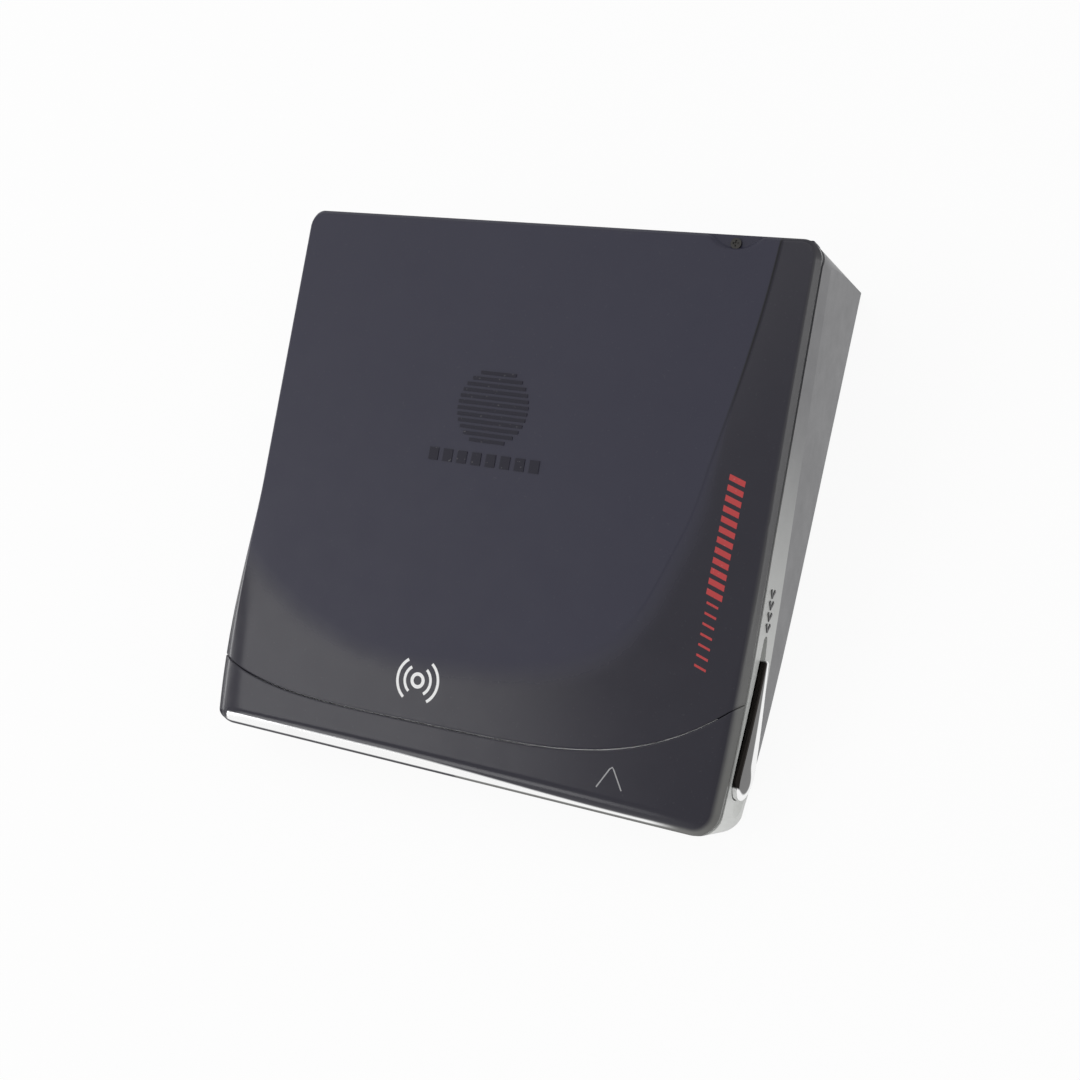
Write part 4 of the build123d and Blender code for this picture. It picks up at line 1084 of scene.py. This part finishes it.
class PLAYER_OT_studio(bpy.types.Operator):
    """Sets the pale floor, soft lamps and camera"""

    bl_idname = "player.studio"
    bl_label = "Studio"

    def execute(self, context):
        studio, lid = studio_settings(), lid_sizes()
        scene = context.scene
        scene.view_settings.view_transform = "Standard"
        level = CAD_BOX[0].z
        mesh = bpy.data.meshes.new("floor")
        corners = [(x * FLOOR_HALF, y * FLOOR_HALF, level) for x, y in ((-1, -1), (1, -1), (1, 1), (-1, 1))]
        mesh.from_pydata(corners, [], [(0, 1, 2, 3)])
        floor = bpy.data.objects.new("floor", mesh)
        scene.collection.objects.link(floor)
        mesh.materials.append(floor_material(studio))
        world = bpy.data.worlds.new("Studio World")
        scene.world = world
        world.use_nodes = True
        set_world(world.node_tree, studio)
        middle = Vector(to_frame((0.0, 0.0, 0.0), lid))
        lamps = (
            ("key_lamp", (-0.35, 0.35, 0.75), 0.7, studio.key_power),
            ("left_lamp", (-0.63, -0.313, 0.776), 0.45, studio.left_power),
            ("rim_lamp", (-0.90, -0.05, 0.12), 0.35, studio.rim_power),
            ("front_lamp", (-0.42, -0.72, 0.10), 0.35, studio.fill_power),
            ("side_lamp", (0.75, 0.05, 0.12), 0.4, studio.side_power),
        )
        for name, offset, width, power in lamps:
            data = bpy.data.lights.new(name, "AREA")
            data.shape = "RECTANGLE"
            data.size = data.size_y = width
            data.energy = power
            lamp = bpy.data.objects.new(name, data)
            lamp.location = middle + Vector(offset)
            lamp.rotation_mode = "QUATERNION"
            lamp.rotation_quaternion = (-Vector(offset)).to_track_quat("-Z", "Y")
            scene.collection.objects.link(lamp)
        add_camera(scene, studio, lid)
        return {"FINISHED"}


def add_camera(scene, studio, lid):
    """Camera above and to the right of the player, its place and turn given in the lid's own frame."""
    turn = deck_matrix(lid)[0]
    place = to_frame((0.099301116, -0.01201419, 0.186834933), lid)
    right = turn @ np.array((0.887103, 0.177074, -0.426255))
    down = turn @ np.array((0.144111, -0.983576, -0.108677))
    ahead = turn @ np.array((-0.438498, 0.034979, -0.898051))
    axes = Matrix((right, -down, -ahead)).transposed().to_4x4()
    data = bpy.data.cameras.new("camera")
    data.lens = studio.lens
    data.sensor_width = 36.0
    data.clip_start = 0.01
    data.clip_end = 20.0
    camera = bpy.data.objects.new("camera", data)
    camera.matrix_world = Matrix.Translation(Vector(place)) @ axes
    scene.collection.objects.link(camera)
    scene.camera = camera


def seen_rays(tree):
    """Mask that is 1 where the camera, a mirror or glass looks straight at the backdrop."""
    rays = tree.nodes.new("ShaderNodeLightPath")
    seen = math_node(tree, "MAXIMUM", rays.outputs["Is Camera Ray"], rays.outputs["Is Glossy Ray"])
    return math_node(tree, "MAXIMUM", seen, rays.outputs["Is Transmission Ray"])


def blend(tree, share, first, second, output):
    """Mixes two shaders by a share and joins them to the output."""
    node = tree.nodes.new("ShaderNodeMixShader")
    for value, socket in zip((share, first, second), node.inputs):
        tree.links.new(value, socket)
    tree.links.new(node.outputs["Shader"], output.inputs["Surface"])


def floor_material(studio):
    """Pale floor that shows white to the camera and in reflections and keeps the player's shadow."""
    material, tree, shader = fresh_material("Floor")
    output = next(node for node in tree.nodes if node.type == "OUTPUT_MATERIAL")
    shader.inputs["Base Color"].default_value = (*studio.floor, 1)
    rough = math_node(tree, "MULTIPLY_ADD", noise(tree, own_place(tree), 20.0), 0.1, 0.8)
    tree.links.new(rough, shader.inputs["Roughness"])
    shader.inputs["Specular IOR Level"].default_value = 0.0
    glow = tree.nodes.new("ShaderNodeEmission")
    glow.inputs["Color"].default_value = (1, 1, 1, 1)
    glow.inputs["Strength"].default_value = 1.0
    seen = math_node(tree, "MULTIPLY", seen_rays(tree), FLOOR_SEEN)
    blend(tree, seen, shader.outputs["BSDF"], glow.outputs["Emission"], output)
    return material


def set_world(tree, studio):
    """Even grey-white light from all round, white where the camera or a mirror sees it."""
    tree.nodes.clear()
    output = tree.nodes.new("ShaderNodeOutputWorld")
    lights = []
    for strength in (studio.world_strength, 1.0):
        light = tree.nodes.new("ShaderNodeBackground")
        light.inputs["Color"].default_value = (1, 1, 1, 1)
        light.inputs["Strength"].default_value = strength
        lights.append(light.outputs["Background"])
    blend(tree, seen_rays(tree), *lights, output)


class PLAYER_PT_sidebar(bpy.types.Panel):
    """Buttons and settings of the disc player in the 3D view's sidebar"""

    bl_label = "Disc Player"
    bl_idname = "PLAYER_PT_sidebar"
    bl_space_type = "VIEW_3D"
    bl_region_type = "UI"
    bl_category = "Disc Player"

    def draw(self, context):
        column = self.layout.column()
        for operator in OPERATORS:
            column.operator(operator.bl_idname)
        for settings in (lid_sizes(), finish_colours(), studio_settings()):
            box = self.layout.box()
            for name in settings.bl_rna.properties.keys():
                if name not in {"rna_type", "name"}:
                    box.prop(settings, name)


GROUPS = (
    (LidSizes, "player_lid"),
    (FinishColours, "player_colours"),
    (StudioSettings, "player_studio"),
)
OPERATORS = (
    PLAYER_OT_lid,
    PLAYER_OT_hinge_bead,
    PLAYER_OT_marks,
    PLAYER_OT_chevrons,
    PLAYER_OT_finishes,
    PLAYER_OT_studio,
)


def register():
    for group, name in GROUPS:
        bpy.utils.register_class(group)
        setattr(bpy.types.Scene, name, bpy.props.PointerProperty(type=group))
    for operator in OPERATORS:
        bpy.utils.register_class(operator)
    bpy.utils.register_class(PLAYER_PT_sidebar)


def unregister():
    bpy.utils.unregister_class(PLAYER_PT_sidebar)
    for operator in reversed(OPERATORS):
        bpy.utils.unregister_class(operator)
    for group, name in reversed(GROUPS):
        delattr(bpy.types.Scene, name)
        bpy.utils.unregister_class(group)


def main():
    """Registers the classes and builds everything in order."""
    register()
    bpy.ops.player.lid()
    bpy.ops.player.hinge_bead()
    bpy.ops.player.marks()
    bpy.ops.player.chevrons()
    bpy.ops.player.finishes()
    bpy.ops.player.studio()


if __name__ == "__main__":
    main()
